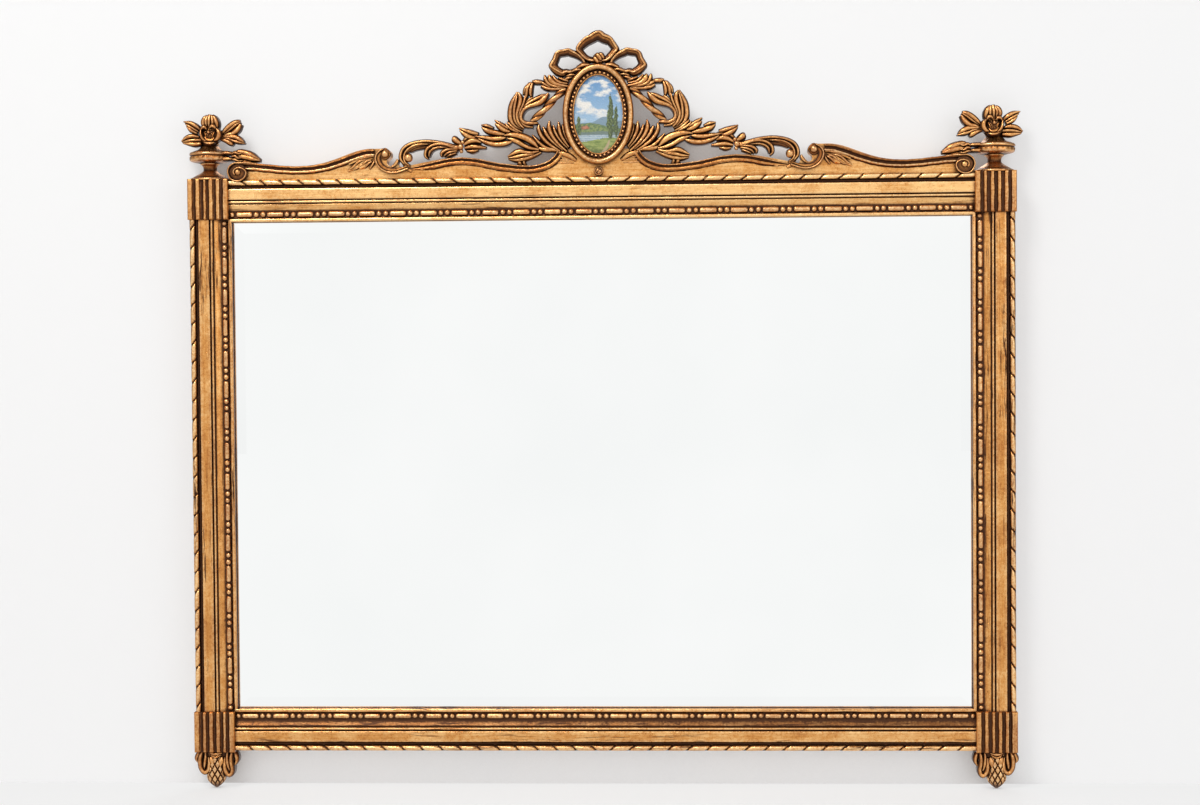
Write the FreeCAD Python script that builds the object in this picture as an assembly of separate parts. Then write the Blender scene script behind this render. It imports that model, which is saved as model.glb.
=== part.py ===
import FreeCAD, Part
import math
import os

# Carved and gilded trumeau mirror.
# X runs to the right, Z up, and the front faces -Y.
# The origin is at the middle of the overall box, at the bottom of the feet.

V = FreeCAD.Vector

# Glass and opening
sight_width = 1072.0
sight_height = 712.0
glass_thickness = 5.0
bevel_width = 23.0
bevel_drop = 1.5
rebate_width = 8.0
rebate_depth = 17.0
glass_clearance = 2.0
strip_width = 6.0
backing_lap = 20.0
backing_thickness = 3.0
backing_screws_across = 5
backing_screws_up = 3
backing_screw_inset = 7.0

# Moulding section, from the outer edge in, heights from the back of the frame
rail_width = 61.0
rail_height = 29.0
twist_width = 8.0
twist_shoulder = 27.5
twist_groove_width = 3.5
groove_height = 24.0
step_width = 2.0
fillet_width = 3.0
fillet_height = 28.0
hollow_width = 9.0
hollow_height = 26.0
channel_width = 11.0
channel_height = 22.0
sight_fillet_width = 5.0
sight_fillet_height = 25.0
ribbon_pitch = 28.0
ribbon_cut_width = 2.6
ribbon_cut_height = 27.0
bead_radius = 4.0
reel_length = 24.0
bead_pitch = 45.5
neck_radius = 1.6

# Corner blocks and corner joints
block_size = 60.0
block_overhang = 2.5
block_seat = 21.0
block_height = 36.0
block_chamfer = 1.2
reed_count = 6
flute_radius = 2.6
key_leg = 38.0
key_thickness = 3.0
key_inset = 2.0
dowel_radius = 4.0
dowel_setback = 13.0
dowel_depth = 18.0
dowel_reach = 12.0

# Crest board and its mouldings
board_thickness = 24.0
volute_radius = 12.5
volute_steps = 8
moulding_half_width = 2.5
moulding_rise = 5.0
ridge_rise = 2.0
ridge_half_width = 1.3
ridge_offset = 9.0
batten_width = 30.0
batten_thickness = 5.0
batten_drop = 36.0
batten_rise = 16.0
batten_spacing = 400.0
batten_screw_rise = 9.0
batten_screw_drop = 16.0

# Medallion
ring_half_width = 50.0
ring_half_height = 72.0
ring_rim = 6.5
ring_section = 16.0
ring_lip = 3.0
ring_base_rise = 5.0
medallion_centre_rise = 90.0
medallion_rise = 14.0
panel_thickness = 3.0
oval_margin = 4.0
pearl_count = 48
pearl_radius = 2.2
crest_screw_rise = 7.5
crest_screw_radius = 6.5

# Finials and feet
finial_setback = 8.0
finial_base_radius = 29.0
dish_radius = 29.5
neck_radius_finial = 10.5
foot_height = 56.0
foot_setback = 16.0
cone_radius = 14.0

# Hanging hardware and wall bumpers
hanger_drop = 194.0
hanger_clearance = 1.0
strap_width = 10.0
strap_length = 38.0
strap_thickness = 1.2
ring_wire_radius = 1.5
ring_clearance = 0.1
ring_gap = 0.4
d_ring_width = 26.0
d_ring_drop = 18.5
strap_screw_radius = 1.6
strap_screw_head = 3.0
bumper_radius = 7.0
bumper_height = 6.0
bumper_inset = 16.0
screw_radius = 1.75
screw_head_radius = 3.6
screw_head_height = 2.2
screw_length = 13.0
slot_width = 0.8

# Worked out from the sizes above
frame_width = sight_width + 2 * rail_width
frame_height = sight_height + 2 * rail_width
frame_bottom = foot_height
frame_top = frame_bottom + frame_height
frame_middle = frame_bottom + frame_height / 2
wall_plane = (bumper_height + board_thickness + medallion_rise) / 2
frame_back = wall_plane - bumper_height
block_reach = block_size - block_overhang
block_inner = frame_width / 2 - block_reach
block_middle = block_inner + block_size / 2
medallion_middle = frame_top + medallion_centre_rise
ring_front = board_thickness + medallion_rise
moulding_front = board_thickness + moulding_rise
eye_height = strap_thickness + ring_gap + ring_wire_radius
hanger_x = sight_width / 2 + backing_lap + hanger_clearance + d_ring_width / 2 + ring_wire_radius
hanger_z = frame_top - hanger_drop
strap_screw_drops = (d_ring_drop * 0.5, strap_length - strap_width * 0.7)


def plane(height):
    # Y of the plane this far in front of the back of the frame
    return frame_back - height


def box(x0, x1, y0, y1, z0, z1):
    corner = V(min(x0, x1), min(y0, y1), min(z0, z1))
    return Part.makeBox(abs(x1 - x0), abs(y1 - y0), abs(z1 - z0), corner)


def path(to_vector, start, *steps):
    # A pair of numbers is a straight run; a pair of points is an arc, middle and end
    edges = []
    here = to_vector(start)
    for step in steps:
        if isinstance(step[0], tuple):
            middle, end = to_vector(step[0]), to_vector(step[1])
            edges.append(Part.Arc(here, middle, end).toShape())
        else:
            end = to_vector(step)
            edges.append(Part.LineSegment(here, end).toShape())
        here = end
    return Part.Wire(edges)


def curve(points, closed=False):
    if len(points) == 2:
        return Part.LineSegment(*points).toShape()
    spline = Part.BSplineCurve()
    spline.interpolate(Points=points, PeriodicFlag=closed)
    return spline.toShape()


def beside(spine, offsets):
    # Points at the given distances to the left of a spine of (x, z) pairs
    found = []
    last = len(spine) - 1
    for i, ((x, z), offset) in enumerate(zip(spine, offsets)):
        before, after = spine[max(i - 1, 0)], spine[min(i + 1, last)]
        run, rise = after[0] - before[0], after[1] - before[1]
        length = math.hypot(run, rise)
        found.append((x - rise / length * offset, z + run / length * offset))
    return found


def outline(spine, half_widths, y):
    left = [V(x, y, z) for x, z in beside(spine, half_widths)]
    right = [V(x, y, z) for x, z in beside(spine, [-w for w in half_widths])]
    edges = [curve(left)]
    if half_widths[-1] > 0:
        edges.append(Part.LineSegment(left[-1], right[-1]).toShape())
    edges.append(curve(right[::-1]))
    if half_widths[0] > 0:
        edges.append(Part.LineSegment(right[0], left[0]).toShape())
    return Part.Wire(edges)


def solid_of(loft):
    if loft.Volume < 0:
        loft.reverse()
    return loft


def blade(spine, half_widths, back, front, crown=0.4):
    # A leaf, stem or band whose sides slope in towards a narrower front
    rear = outline(spine, half_widths, plane(back))
    face = outline(spine, [w * crown for w in half_widths], plane(front))
    return solid_of(Part.makeLoft([rear, face], True, True))


def closed_loft(rear_points, front_points, back, front):
    rear = curve([V(x, plane(back), z) for x, z in rear_points], True)
    face = curve([V(x, plane(front), z) for x, z in front_points], True)
    return solid_of(Part.makeLoft([Part.Wire(rear), Part.Wire(face)], True, True))


def towards(points, targets, share):
    return [(x + (u - x) * share, z + (w - z) * share) for (x, z), (u, w) in zip(points, targets)]


def loop_band(outer, inner, back, front, slope=0.32):
    # A closed ribbon between paired outer and inner points
    body = closed_loft(outer, towards(outer, inner, slope), back, front)
    return body.cut(closed_loft(inner, towards(inner, outer, slope), back, front))


def oval(half_width, half_height, y, z=medallion_middle):
    across, up = V(half_width, y, z), V(0, y, z + half_height)
    ends = (across, up) if half_width > half_height else (up, across)
    return Part.Wire(Part.Ellipse(ends[0], ends[1], V(0, y, z)).toShape())


def oval_plate(inset, back, front, front_inset=None):
    # An oval slab, measured in from the outside of the medallion ring
    front_inset = inset if front_inset is None else front_inset
    wires = [oval(ring_half_width - i, ring_half_height - i, plane(h))
             for i, h in ((inset, back), (front_inset, front))]
    return solid_of(Part.makeLoft(wires, True, True))


def turned(x, setback, start, *steps):
    # A piece turned about an upright axis
    axis_y = plane(setback)
    wire = path(lambda p: V(x + p[0], axis_y, p[1]), start, *steps)
    face = Part.Face(Part.Wire(wire.Edges + [Part.LineSegment(
        wire.OrderedVertexes[-1].Point, wire.OrderedVertexes[0].Point).toShape()]))
    return face.revolve(V(x, axis_y, 0), V(0, 0, 1), 360)


def ball(x, height, z, radius, squash=1.0):
    solid = Part.makeSphere(radius, V(0, 0, 0))
    if squash != 1.0:
        shrink = FreeCAD.Matrix()
        shrink.scale(1.0, squash, 1.0)
        solid = solid.transformGeometry(shrink)
    solid.translate(V(x, plane(height), z))
    return solid


def join(shapes):
    shapes = list(shapes)
    return shapes[0].multiFuse(shapes[1:]) if len(shapes) > 1 else shapes[0]


def main_body(shape):
    return max(shape.Solids, key=lambda solid: solid.Volume)


def trimmed(shape, *neighbours):
    # What is left of a carving where it meets the pieces that it is fitted to
    for neighbour in neighbours:
        if shape.BoundBox.intersect(neighbour.BoundBox):
            shape = main_body(shape.cut(neighbour))
    return shape


def mirrored(shape):
    return shape.mirror(V(0, 0, 0), V(1, 0, 0))


def beyond(points):
    # Ornament points are given as distance out from the medallion's edge
    # and height above the frame; this is the left-hand side
    return [(-ring_half_width - out, frame_top + rise) for out, rise in points]


# ---- frame ----

def on_side(shape, side):
    # A piece drawn along the bottom of the frame, moved to another side
    turns = {"bottom": 0, "left": 90, "top": 180, "right": -90}
    half = {"bottom": frame_height, "top": frame_height, "left": frame_width, "right": frame_width}
    shape = shape.copy()
    shape.translate(V(0, 0, -half[side] / 2))
    shape.rotate(V(0, 0, 0), V(0, 1, 0), turns[side])
    shape.translate(V(0, 0, frame_middle))
    return shape


def side_length(side):
    return frame_width if side in ("bottom", "top") else frame_height


def moulding_section(x):
    fascia_end = rail_width - sight_fillet_width - channel_width - hollow_width - 2 * step_width - fillet_width
    hollow_start = rail_width - sight_fillet_width - channel_width - hollow_width
    channel_start = hollow_start + hollow_width
    channel_end = channel_start + channel_width
    fascia_start = twist_width + twist_groove_width
    step_floor = groove_height + 1
    wire = path(
        lambda p: V(x, plane(p[1]), p[0]),
        (0, 0), (0, twist_shoulder),
        ((twist_width / 2, twist_shoulder + twist_width / 2), (twist_width, twist_shoulder)),
        (twist_width, groove_height), (fascia_start, groove_height), (fascia_start, rail_height - 0.5),
        (fascia_start + 1, rail_height), (fascia_end, rail_height), (fascia_end, step_floor),
        (fascia_end + step_width, step_floor), (fascia_end + step_width, fillet_height),
        (hollow_start - step_width, fillet_height), (hollow_start - step_width, step_floor),
        (hollow_start, step_floor), (hollow_start, hollow_height),
        ((hollow_start + hollow_width * 0.35, channel_height + 1.2), (channel_start, channel_height)),
        (channel_end, channel_height), (channel_end, sight_fillet_height - 1),
        (channel_end + 1, sight_fillet_height), (rail_width - 1.5, sight_fillet_height),
        (rail_width, sight_fillet_height - 1.5), (rail_width, rebate_depth),
        (rail_width - rebate_width, rebate_depth), (rail_width - rebate_width, 0), (0, 0))
    return Part.Face(wire)


def ribbon_cuts(length, lean):
    # Slanting cuts that divide the outer bead into a wound ribbon
    run = length - 2 * block_reach
    count = 2 * max(1, round(run / ribbon_pitch / 2))
    pitch = run / count
    cuts = []
    for i in range(count):
        x = (i + 0.5) * pitch - run / 2
        slant = lean(x) * twist_width / 2
        corners = [(x - slant - ribbon_cut_width / 2, 0), (x - slant + ribbon_cut_width / 2, 0),
                   (x + slant + ribbon_cut_width / 2, twist_width), (x + slant - ribbon_cut_width / 2, twist_width),
                   (x - slant - ribbon_cut_width / 2, 0)]
        wire = Part.makePolygon([V(a, plane(ribbon_cut_height), b) for a, b in corners])
        cuts.append(Part.Face(wire).extrude(V(0, -twist_width, 0)))
    return cuts


def moulding(side, lean):
    length = side_length(side)
    bar = moulding_section(-length / 2).extrude(V(length, 0, 0))
    mitre = Part.makePolygon([V(a * length / 2 - a * b, plane(0) + 1, b) for a, b in
                              ((-1, 0), (1, 0), (1, rail_width), (-1, rail_width), (-1, 0))])
    bar = bar.common(Part.Face(mitre).extrude(V(0, plane(block_height) - plane(0) - 2, 0)))
    bar = bar.cut(ribbon_cuts(length, lean))
    return on_side(bar, side)


def corner_box(right, top, size, back, front):
    # A square prism in a corner of the frame, standing out past its edges by the overhang
    x = (frame_width / 2 + block_overhang) * (1 if right else -1)
    z = frame_top + block_overhang if top else frame_bottom - block_overhang
    return box(x, x - math.copysign(size, x), plane(back), plane(front), z, z - size if top else z + size)


def corner_block(right, top):
    block = corner_box(right, top, block_size, block_seat, block_height)
    front = [edge for edge in block.Edges
             if all(abs(v.Point.y - plane(block_height)) < 0.01 for v in edge.Vertexes)]
    block = block.makeChamfer(block_chamfer, front)
    bounds = block.BoundBox
    pitch = block_size / reed_count
    flutes = [Part.makeCylinder(flute_radius, block_size + 2,
                                V(bounds.XMin + pitch * (i + 1), plane(block_height), bounds.ZMin - 1))
              for i in range(reed_count - 1)]
    return block.cut(flutes)


def mitre_key(right, top):
    x = frame_width / 2 * (1 if right else -1)
    z = frame_top if top else frame_bottom
    to_x, to_z = (-1 if right else 1) * key_leg, (-1 if top else 1) * key_leg
    y = plane(key_inset)
    face = Part.Face(Part.makePolygon([V(x, y, z), V(x + to_x, y, z), V(x, y, z + to_z), V(x, y, z)]))
    return face.extrude(V(0, -key_thickness, 0))


def corner_dowel(right, top):
    x = block_middle * (1 if right else -1)
    if top:
        low, high = frame_top - dowel_depth, frame_top + dowel_reach
    else:
        low, high = frame_bottom - dowel_reach, frame_bottom + dowel_depth
    return Part.makeCylinder(dowel_radius, high - low, V(x, plane(dowel_setback), low))


def bead_course(side):
    # Half-round reels and paired beads on one flat-backed strip
    run = side_length(side) - 2 * block_reach
    count = round(run / bead_pitch)
    pitch = run / count
    pearl = bead_radius * 0.95
    half_reel = min(reel_length / 2, pitch / 2 - 2 * pearl - neck_radius)
    steps = [(-run / 2, neck_radius)]
    gap = (pitch / 2 - half_reel) / 2
    for i in range(count):
        middle = -run / 2 + (i + 0.5) * pitch
        for x, half, slope in ((middle - half_reel - gap, pearl, pearl * 0.6), (middle, half_reel, 1),
                               (middle + half_reel + gap, pearl, pearl * 0.6)):
            steps += [(x - half, neck_radius), (x - half + slope, bead_radius),
                      (x + half - slope, bead_radius), (x + half, neck_radius)]
    steps += [(run / 2, neck_radius), (run / 2, 0), (-run / 2, 0)]
    u = rail_width - sight_fillet_width - channel_width / 2
    y = plane(channel_height)
    face = Part.Face(path(lambda p: V(p[0], y, u + p[1]), (-run / 2, 0), *steps))
    return on_side(face.revolve(V(0, y, u), V(1, 0, 0), 180), side)


# ---- glass and back ----

def screw(x, z, height, length, radius, head_radius, head_height, countersunk=False):
    # Driven from the back; height is where the head's underside lies
    y = plane(height)
    shank = Part.makeCylinder(radius, length, V(x, y, z), V(0, -1, 0))
    if countersunk:
        head = Part.makeCone(radius, head_radius, head_height, V(x, y - 0, z), V(0, 1, 0))
    else:
        head = Part.makeCone(head_radius, head_radius * 0.7, head_height, V(x, y, z), V(0, 1, 0))
    top = y + head_height
    slot = box(x - head_radius, x + head_radius, top - head_height * 0.4, top + 1, z - slot_width / 2, z + slot_width / 2)
    return shank.fuse(head).cut(slot)


def mirror_glass():
    cover = rebate_width - glass_clearance
    half_width, half_height = sight_width / 2 + cover, sight_height / 2 + cover
    front = rebate_depth + bevel_drop * (1 - cover / bevel_width)

    def rectangle(inset, height):
        a, b, y = half_width - inset, half_height - inset, plane(height)
        return Part.makePolygon([V(s * a, y, frame_middle + t * b)
                                 for s, t in ((-1, -1), (1, -1), (1, 1), (-1, 1), (-1, -1))])

    levels = [(0, front - glass_thickness), (0, front - bevel_drop), (bevel_width, front)]
    plate = Part.makeLoft([rectangle(*level) for level in levels[:2]], True, True)
    bevel = Part.makeLoft([rectangle(*level) for level in levels[1:]], True, True)
    return solid_of(plate).fuse(solid_of(bevel)).removeSplitter(), front - glass_thickness


def packing_strips(glass_back):
    strips = []
    wall = rail_width - rebate_width
    for side in ("bottom", "top", "left", "right"):
        length = side_length(side) - 2 * wall
        if side in ("left", "right"):
            length -= 2 * strip_width
        strip = box(-length / 2, length / 2, plane(0), plane(glass_back), wall, wall + strip_width)
        strips.append(on_side(strip, side))
    return strips


def backing_board():
    a, b = sight_width / 2 + backing_lap, sight_height / 2 + backing_lap
    return box(-a, a, plane(0), plane(-backing_thickness), frame_middle - b, frame_middle + b)


def backing_screws():
    a = sight_width / 2 + backing_lap - backing_screw_inset
    b = sight_height / 2 + backing_lap - backing_screw_inset
    places = []
    for i in range(backing_screws_across):
        x = a * (2 * i / (backing_screws_across - 1) - 1) * 0.96
        places += [(x, frame_middle - b), (x, frame_middle + b)]
    for i in range(backing_screws_up):
        z = frame_middle + b * 0.6 * (2 * i / (backing_screws_up - 1) - 1)
        places += [(-a, z), (a, z)]
    return [screw(x, z, -backing_thickness, screw_length + backing_thickness, screw_radius,
                  screw_head_radius, screw_head_height) for x, z in places]


def wall_bumpers():
    x = frame_width / 2 - bumper_inset
    return [Part.makeCone(bumper_radius, bumper_radius - 1, bumper_height, V(s * x, plane(0), z), V(0, 1, 0))
            for s in (-1, 1) for z in (frame_bottom + bumper_inset, frame_top - bumper_inset)]


# ---- hangers ----

def hanger_strap(x):
    half = strap_width / 2
    eye_y, eye_outer = plane(-eye_height), ring_wire_radius + ring_clearance + strap_thickness
    strap = box(x - half, x + half, plane(0), plane(-strap_thickness), hanger_z - strap_length, hanger_z)
    eye = Part.makeCylinder(eye_outer, strap_width, V(x - half, eye_y, hanger_z), V(1, 0, 0))
    bore = Part.makeCylinder(ring_wire_radius + ring_clearance, strap_width + 2,
                             V(x - half - 1, eye_y, hanger_z), V(1, 0, 0))
    return strap.fuse(eye).cut(bore)


def d_ring(x):
    # A straight bar through the eye, short sides, and a half round below
    y, half = plane(-eye_height), d_ring_width / 2
    corner = 3 * ring_wire_radius
    side_end = d_ring_drop - half
    diagonal = math.sqrt(0.5)
    route = path(
        lambda p: V(x + p[0], y, hanger_z - p[1]),
        (0, 0), (half - corner, 0),
        ((half - corner * (1 - diagonal), corner * (1 - diagonal)), (half, corner)),
        (half, side_end), ((0, d_ring_drop), (-half, side_end)), (-half, corner),
        ((-half + corner * (1 - diagonal), corner * (1 - diagonal)), (-half + corner, 0)), (0, 0))
    lengths = []
    for edge in route.Edges:
        start = edge.valueAt(edge.FirstParameter)
        section = Part.Circle(start, edge.tangentAt(edge.FirstParameter), ring_wire_radius).toShape()
        lengths.append(Part.Wire([edge]).makePipeShell([Part.Wire([section])], True, True))
    return main_body(join(lengths).removeSplitter())


def hanger_screws(x):
    return [screw(x, hanger_z - drop, -strap_thickness, screw_length, strap_screw_radius,
                  strap_screw_head, strap_thickness) for drop in strap_screw_drops]


# ---- crest board ----

volute_x = -block_inner + volute_radius + 0.5
volute_z = frame_top + volute_radius
hook_x = beyond([(275, 0)])[0][0]
long_edge_rises = (25, 24.2, 22.2, 20, 19, 19.8, 23, 29, 36.5, 41.4, 43)
long_edge_shares = (0, 0.12, 0.22, 0.32, 0.42, 0.52, 0.62, 0.72, 0.82, 0.9, 1)
long_edge = [(volute_x + (hook_x - volute_x) * share, frame_top + rise)
             for share, rise in zip(long_edge_shares, long_edge_rises)]
hook_ball = beyond([(260, 35)])[0]
hook_ball_radius = 8.5
notch = beyond([(254.5, 28.5), (257.5, 24), (256.5, 20), (252.5, 17.5), (249, 19.5), (244, 26)])
inner_edge = beyond([(238, 15), (225, 18), (210, 21), (190, 25), (172, 28), (155, 29), (138, 28.5), (120, 26),
                     (100, 21.5), (80, 18.5), (60, 16.5), (45, 16.5), (32, 19), (21, 24), (13, 31), (9, 39)])
hook_bend = beyond([(267, 40), (271.5, 35.5), (273.5, 29), (271.5, 21.5), (266, 14.5), (257, 9.5), (247, 8),
                    (238, 10.5), (225, 14.5)])


def board_half():
    # The left half of the sawn board, closed along the middle of the crest
    y = plane(0)

    def at(point):
        return V(point[0], y, point[1])

    left = volute_x - volute_radius
    foot, shoulder = at((left, frame_top)), at((left, volute_z))
    diagonal = volute_radius * math.sqrt(0.5)
    ball_top = at((hook_ball[0], long_edge[-1][1]))
    edges = [Part.LineSegment(foot, shoulder).toShape(),
             Part.Arc(shoulder, at((volute_x - diagonal, volute_z + diagonal)), at(long_edge[0])).toShape(),
             curve([at(p) for p in long_edge]),
             Part.LineSegment(at(long_edge[-1]), ball_top).toShape(),
             Part.Arc(ball_top, at((hook_ball[0] + hook_ball_radius, hook_ball[1])), at(notch[0])).toShape(),
             curve([at(p) for p in notch]),
             Part.LineSegment(at(notch[-1]), at(inner_edge[0])).toShape(),
             curve([at(p) for p in inner_edge]),
             path(at, inner_edge[-1], (0, inner_edge[-1][1]), (0, frame_top), (left, frame_top))]
    wire_edges = [edge for piece in edges for edge in piece.Edges]
    return Part.Face(Part.Wire(wire_edges)).extrude(V(0, -board_thickness, 0))


def sprig():
    top = board_thickness + ridge_rise + 1
    strokes = [(beyond([(314, 11), (300, 18), (288, 25), (277, 29)]), (1.5, 3, 3.5, 0)),
               (beyond([(297, 15), (288, 20), (280, 26)]), (2, 4.5, 2)),
               (beyond([(312, 21), (298, 28), (285, 32.5), (276, 32)]), (2, 4, 4, 2.5))]
    return [blade(spine, widths, board_thickness, top) for spine, widths in strokes]


def ridges():
    top = board_thickness + ridge_rise
    runs = [beside(long_edge, [-ridge_offset] * len(long_edge))[1:8],
            beside(inner_edge, [-ridge_offset] * len(inner_edge))[2:-2]]
    return [blade(run, [ridge_half_width] * len(run), board_thickness, top, 0.6) for run in runs]


def crest_board():
    half = join([board_half()] + sprig() + ridges())
    return join([half, mirrored(half), oval_plate(oval_margin, 0, board_thickness)]).removeSplitter()


def scroll_moulding():
    inset = moulding_half_width + 0.1
    spiral = []
    for i in range(volute_steps + 1):
        left_over = (volute_steps - i) / volute_steps
        turn = math.radians(90 + 360 * left_over)
        radius = volute_radius - inset - volute_radius * 0.46 * left_over
        spiral.append((volute_x + radius * math.cos(turn), volute_z + radius * math.sin(turn)))
    edge = beside(long_edge, [-inset] * len(long_edge))
    outer_run = spiral[-2:-1] + edge[1:] + [(hook_ball[0], long_edge[-1][1] - inset)]
    inner_run = hook_bend[-2:] + beside(inner_edge, [-inset] * len(inner_edge))[2:]
    growing = [moulding_half_width * min(1, 0.5 + 0.06 * i) for i in range(len(spiral) + 1)]
    bands = [blade(run, [moulding_half_width] * len(run), board_thickness, moulding_front)
             for run in (outer_run, hook_bend, inner_run)]
    return join([blade(spiral + edge[1:2], growing, board_thickness, moulding_front), *bands,
                 half_ball(*hook_ball, hook_ball_radius * 0.68), half_ball(volute_x, volute_z, volute_radius * 0.28)])


def half_ball(x, z, radius):
    return Part.makeSphere(radius, V(x, plane(board_thickness), z), V(0, -1, 0), 0, 90, 360)


def crest_battens():
    return [box(x - batten_width / 2, x + batten_width / 2, plane(0), plane(-batten_thickness),
                frame_top - batten_drop, frame_top + batten_rise)
            for x in (-batten_spacing, 0, batten_spacing)]


def batten_screws():
    places = [(x, frame_top - batten_screw_drop) for x in (-batten_spacing, 0, batten_spacing)]
    places += [(x, frame_top + batten_screw_rise) for x in (-batten_spacing, batten_spacing)]
    return [screw(x, z, screw_head_height - batten_thickness, screw_length + batten_thickness, screw_radius,
                  screw_head_radius, screw_head_height, True) for x, z in places]


def crest_screw():
    z, y = frame_top + crest_screw_rise, plane(board_thickness)
    washer = Part.makeCone(crest_screw_radius, crest_screw_radius * 0.8, 1.5, V(0, y, z), V(0, -1, 0))
    head = Part.makeSphere(crest_screw_radius * 0.62, V(0, y - 1, z))
    head = head.common(box(-crest_screw_radius, crest_screw_radius, y, y - 2 * crest_screw_radius,
                           z - crest_screw_radius, z + crest_screw_radius))
    shank = Part.makeCylinder(2.5, board_thickness + batten_thickness * 0.7, V(0, y, z), V(0, 1, 0))
    slot = box(-crest_screw_radius, crest_screw_radius, y - 3.2, y - 2 * crest_screw_radius,
               z - slot_width / 2, z + slot_width / 2)
    slot.rotate(V(0, y, z), V(0, 1, 0), 35)
    return join([washer, head, shank]).cut(slot)


# ---- medallion ----

def medallion_ring():
    base_top = board_thickness + ring_base_rise
    lip = board_thickness + panel_thickness
    base = oval_plate(0, board_thickness, base_top)
    rim = oval_plate(0, base_top, ring_front, ring_rim * 0.3)
    rim_well = oval_plate(ring_rim, base_top, ring_front, ring_rim * 0.7)
    ring = base.fuse(rim.cut(rim_well))
    ring = ring.cut(oval_plate(ring_section - ring_lip, board_thickness, lip))
    return ring.cut(oval_plate(ring_section, lip, base_top))


def medallion_panel():
    return oval_plate(ring_section - ring_lip, board_thickness, board_thickness + panel_thickness)


def medallion_beads():
    base = board_thickness + ring_base_rise
    inset = (ring_rim + ring_section) / 2
    half_width, half_height = ring_half_width - inset, ring_half_height - inset
    strip = oval_plate(inset - pearl_radius * 0.6, base, base + pearl_radius * 0.5)
    strip = strip.cut(oval_plate(inset + pearl_radius * 0.6, base, base + pearl_radius * 0.5))
    # Equal steps along the oval, found by walking round it in small chords
    fine = 720
    walk = [(half_width * math.sin(2 * math.pi * i / fine), half_height * math.cos(2 * math.pi * i / fine))
            for i in range(fine + 1)]
    lengths = [math.dist(a, b) for a, b in zip(walk, walk[1:])]
    step = sum(lengths) / pearl_count
    pearls, gone, due = [], 0.0, 0.0
    for (x, z), length in zip(walk, lengths):
        if gone >= due and len(pearls) < pearl_count:
            pearls.append(Part.makeCone(pearl_radius, pearl_radius * 0.5, pearl_radius * 1.6,
                                        V(x, plane(base), medallion_middle + z), V(0, -1, 0)))
            due += step
        gone += length
    return join([strip] + pearls)


# ---- pierced work beside the medallion ----

def scroll_tail():
    back, front = 10, 28
    return join([
        blade(beyond([(231, 17), (235.5, 25), (236, 33), (232, 41), (223, 46.5), (210, 49.5), (195, 50.5),
                      (178, 49.5), (162, 47), (147, 45)]), (3.5, 3.5, 3.5, 3.5, 4, 4.5, 4.5, 3.5, 3, 3), back, front),
        blade(beyond([(153, 46), (172, 47.5), (187, 46), (197, 40), (201, 32), (196, 25)]),
              (2.5, 3, 3.5, 4, 4, 0), back, front - 1),
        blade(beyond([(150, 43), (167, 40.5), (176, 36), (178, 27)]), (2.5, 3, 3, 2.5), back, front - 2),
        blade(beyond([(149, 36), (147.5, 45), (143, 52)]), (3.5, 4.5, 2.5), back - 2, front + 2, 0.6),
        blade(beyond([(148, 47), (155, 55), (163, 57)]), (3, 3.5, 0), back, front + 1),
        ball(*with_height(beyond([(227, 28.5)])[0], front - 11), 7.4)])


def with_height(point, height):
    return point[0], height, point[1]


def laurel_branch():
    back, front = 12, 30
    leaves = [
        ([(142, 45), (130, 45), (115, 47), (100, 52), (85, 57), (66, 61)], (3, 3, 3, 3, 3, 3), 24),
        ([(110, 54), (126, 59), (141, 64), (154, 73.5)], (3, 7, 7, 0), front),
        ([(80, 59), (97, 66), (111, 71), (123, 78.5)], (3, 6.5, 6, 0), front),
        ([(64, 64), (81, 70), (93, 77), (101, 85)], (3, 5.5, 5, 0), front - 1),
        ([(75, 61), (90, 67), (103, 75.5)], (2.5, 3.5, 0), front - 4),
        ([(56, 62), (71, 71), (81.5, 82.5)], (2.5, 3.5, 0), front - 3),
        ([(64, 65), (76, 72), (85.5, 79)], (2, 3, 0), front - 4),
        ([(128, 58), (115, 53), (100, 51.5), (87, 51), (75, 49)], (0, 5.5, 7, 6.5, 1.5), front + 1),
        ([(143, 48), (133, 51), (121, 49)], (2, 3, 1), front - 4),
        ([(84, 60), (70, 57), (55, 51.5), (40, 45), (22, 40)], (1.5, 6.5, 8, 5, 3), front + 2),
        ([(86.5, 27), (72, 29.5), (60, 32), (45, 35), (30, 39), (18, 40)], (0, 7, 7.5, 4, 3, 3), front)]
    solids = [blade(beyond(spine), widths, back, top) for spine, widths, top in leaves]
    (left, low), (right, high) = beyond([(71, 13), (59, 28)])
    solids.append(box(left, right, plane(back), plane(front - 8), low, high))
    return join(solids)


def palmette():
    back, front = 12, 32
    ribs = [([(-4, 39), (0, 56), (4.5, 80.5)], (3, 3.5, 0)), ([(-2, 37), (7, 56), (13, 73)], (3, 3.5, 0)),
            ([(0, 36), (12, 56), (20, 81)], (3, 4, 0)), ([(2, 36), (18, 54), (28.5, 72)], (3, 4, 0)),
            ([(3, 36), (23, 51), (35, 76)], (3, 4.5, 0)), ([(4, 37), (26, 47), (44, 61)], (3, 4, 0)),
            ([(5, 37), (22, 41), (38, 44)], (3, 3, 1))]
    solids = [blade(beyond(spine), widths, back, front - i % 2 * 3, 0.3) for i, (spine, widths) in enumerate(ribs)]
    solids.append(blade(beyond([(-8, 31), (2, 35), (10, 40)]), (5, 6, 5), back, front - 2))
    return join(solids)


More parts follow.
